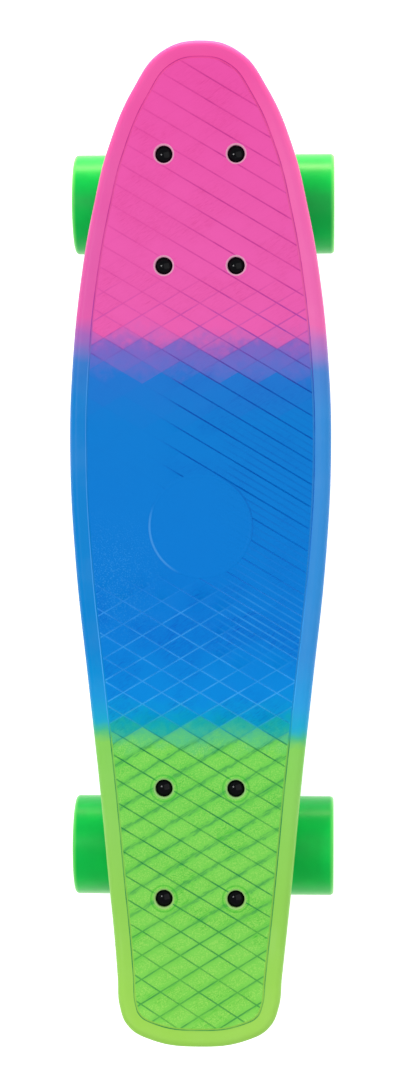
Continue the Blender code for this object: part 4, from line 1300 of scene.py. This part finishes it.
def makeTruck(name, facing):
    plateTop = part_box(f"{name}_baseplate")[1].z
    turn = Matrix.Rotation(0 if facing == 1 else math.pi, 4, "Z")
    place = Matrix.Translation((0, middleY + facing * boltPattern["truckCentre"] * mm, plateTop)) @ turn
    spots = place @ Matrix.Scale(mm, 4)
    hanger = f"{name}_hanger"
    addPiece(f"{name}_plate_casting", baseplateShape(), "cast", "deck", place, [f"{name}_baseplate"])
    addPiece(f"{name}_hanger_casting", hangerShape(), "cast", hanger, place, [hanger])
    addPiece(f"{name}_hanger_pin", pivotBall(), "cast", hanger, place)

    pin = threaded(truck["kingpinRadius"], *truck["kingpinThread"])
    kingpin = moved(together(pin, hexagon(*truck["kingpinHead"])), onKingpin(0))
    addPiece(f"{name}_kingpin_shank", kingpin, "zinc", "deck", place, [f"{name}_kingpin"])
    addNut("kingpin", f"{name}_kingpin_lock", f"{name}_kingpin_nylon", "deck", place, f"{name}_kingpin_nut",
           onKingpin(truck["kingpinNut"]))
    hole = truck["kingpinHole"]
    for which, nodes in (("road", [f"{name}_road_washer"]), ("board", ())):
        washer = moved(cupWasher(*truck[f"{which}Cup"], hole), onKingpin(0))
        addPiece(f"{name}_{which}_cup", washer, "zinc", "deck", place, nodes)

    cup = lathe(fillet((
        (5.8, -7.0), (0.01, -7.2), (0.01, -8.0), (8.4, -8.0, 0.5, 2), (8.4, 3.1),
        (9.6, 3.1, 0.2, 2), (9.6, 4.3, 0.6, 3), (6.6, 4.3, 0.5, 3), (5.8, 1.5))), 56)
    addPiece(f"{name}_pivot_cup_lining", moved(cup, onPivot()), "pivot", "deck", place, [f"{name}_pivot_cup"])

    for which, (low, high, radii) in truck["bushings"].items():
        shape = moved(bushingShape(low, high, radii, hole), onKingpin(0))
        piece = addPiece(f"{name}_{which}_rubber", shape, "bushing", None, place, [f"{name}_{which}_bushing"])
        # Where the end held by the plate or its washer and the end in the hanger lie, worked out but not
        # used.
        first, last = (low, high) if which == "board" else (high, low)
        start, end = (spots @ (Vector(truck["kingpinTop"]) + down * at) for at in (first, last))
        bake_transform(piece)

    axle = truck["axle"]
    tip = wheelAcross + truck["axleTip"]
    ends = [(3.3, tip), (3.75, tip - 0.6)]
    for i in range(6):
        at = tip - 1.0 - i * truck["axleThread"]
        ends += [(4.0, at), (3.55, at - 0.6)]
    half = [(0, tip - 0.5), (1.0, tip - 0.5), (1.5, tip)] + ends + [(4.0, tip - 9.4)]
    profile = [(radius, -x) for radius, x in half] + [(radius, x) for radius, x in reversed(half)]
    shaft = rod(profile, along(axle, (1, 0, 0)))
    addPiece(f"{name}_axle_rod", shaft, "zinc", hanger, place, [f"{name}_axle"])

    for side in (1, -1):
        corner = f"{name}_{'right' if side * facing == 1 else 'left'}"

        def outboard(distance):
            return along(Vector(axle) + Vector((side * (wheelAcross + distance), 0, 0)), (side, 0, 0))

        for washer, at in truck["washers"].items():
            ring = moved(flatWasher(6.0, 4.15, 1.0), outboard(at))
            nodes = [f"{corner}_{washer}_washer"]
            addPiece(f"{corner}_{washer}_speed_ring", ring, "zinc", hanger, place, nodes)
        addNut("axle", f"{corner}_axle_lock", f"{corner}_axle_nylon", hanger, place, f"{corner}_axle_nut",
               outboard(truck["axleNut"]))


makeTruck("front", 1)
makeTruck("rear", -1)
print("trucks made")


studio = {
    "cameraHeight": 1.5,  # over the deck's top
    "aim": (0.0018, -0.0081),  # the middle of the view, from the middle of the trucks
    "offset": (0.070, 0.0388),  # how far to the side of that the camera stands
    "frameHeight": 0.619,
    "sensor": 36.0,
    # Lamps: place, aim, size, power and colour
    "lamps": {
        "key": ((-1.0, 0.3, 2.0), (0, 0, 0.1), (0.45, 0.45), 18, (1, 1, 1)),
        "fill": ((1.0, 0.2, 2.2), (0, 0, 0.1), (2.4, 2.4), 20, (1, 1, 1)),
        "nose": ((0.0, 0.75, 0.05), (0, 0.2, 0.03), (0.5, 0.09), 5.0, (1.0, 0.76, 0.52)),
    },
    "sky": 0.5,
    "floorSize": 6.0,
    "floorGlow": 0.75,
}


def makeCamera():
    data = bpy.data.cameras.new("camera")
    data.sensor_width = studio["sensor"]
    data.lens = studio["sensor"] * studio["cameraHeight"] / studio["frameHeight"]
    data.clip_start = 0.05
    data.clip_end = 50
    camera = bpy.data.objects.new("camera", data)
    aim = Vector((studio["aim"][0], middleY + studio["aim"][1], deckTop))
    offset = Vector((*studio["offset"], studio["cameraHeight"]))
    camera.location = aim + offset
    tiltX = math.atan2(-offset.y, offset.z)
    tiltY = math.atan2(offset.x, offset.z)
    camera.rotation_euler = (tiltX, tiltY, 0)
    bpy.context.scene.collection.objects.link(camera)
    bpy.context.scene.camera = camera


def makeLamp(name, place, aim, size, power, colour):
    data = bpy.data.lights.new(name, "AREA")
    data.shape = "RECTANGLE"
    data.size, data.size_y = size
    data.energy = power
    data.color = colour
    lamp = bpy.data.objects.new(name, data)
    lamp.location = place
    lamp.rotation_euler = (Vector(aim) - Vector(place)).to_track_quat("-Z", "Y").to_euler()
    bpy.context.scene.collection.objects.link(lamp)


def makeFloor():
    bm = bmesh.new()
    bmesh.ops.create_grid(bm, x_segments=1, y_segments=1, size=studio["floorSize"])
    floor = stood(bm, "studio_floor")
    finish = Finish("pale studio floor")
    tone = finish.noise(3.0, 2.0)
    colour = finish.mix(tone, (0.80, 0.80, 0.80, 1), (0.82, 0.82, 0.82, 1))
    floor.data.materials.append(finish.surface(
        Base_Color=colour, Roughness=0.9, Specular_IOR_Level=0.0,
        Emission_Color=(1, 1, 1, 1), Emission_Strength=studio["floorGlow"]))


def makeWorld():
    world = bpy.data.worlds.new("studio world")
    bpy.context.scene.world = world
    world.use_nodes = True
    sky = world.node_tree.nodes["Background"]
    sky.inputs["Color"].default_value = (1, 1, 1, 1)
    sky.inputs["Strength"].default_value = studio["sky"]


makeCamera()
makeFloor()
makeWorld()
for lampName, settings in studio["lamps"].items():
    makeLamp(lampName, *settings)
bpy.context.scene.view_settings.view_transform = "Standard"
print("studio made")
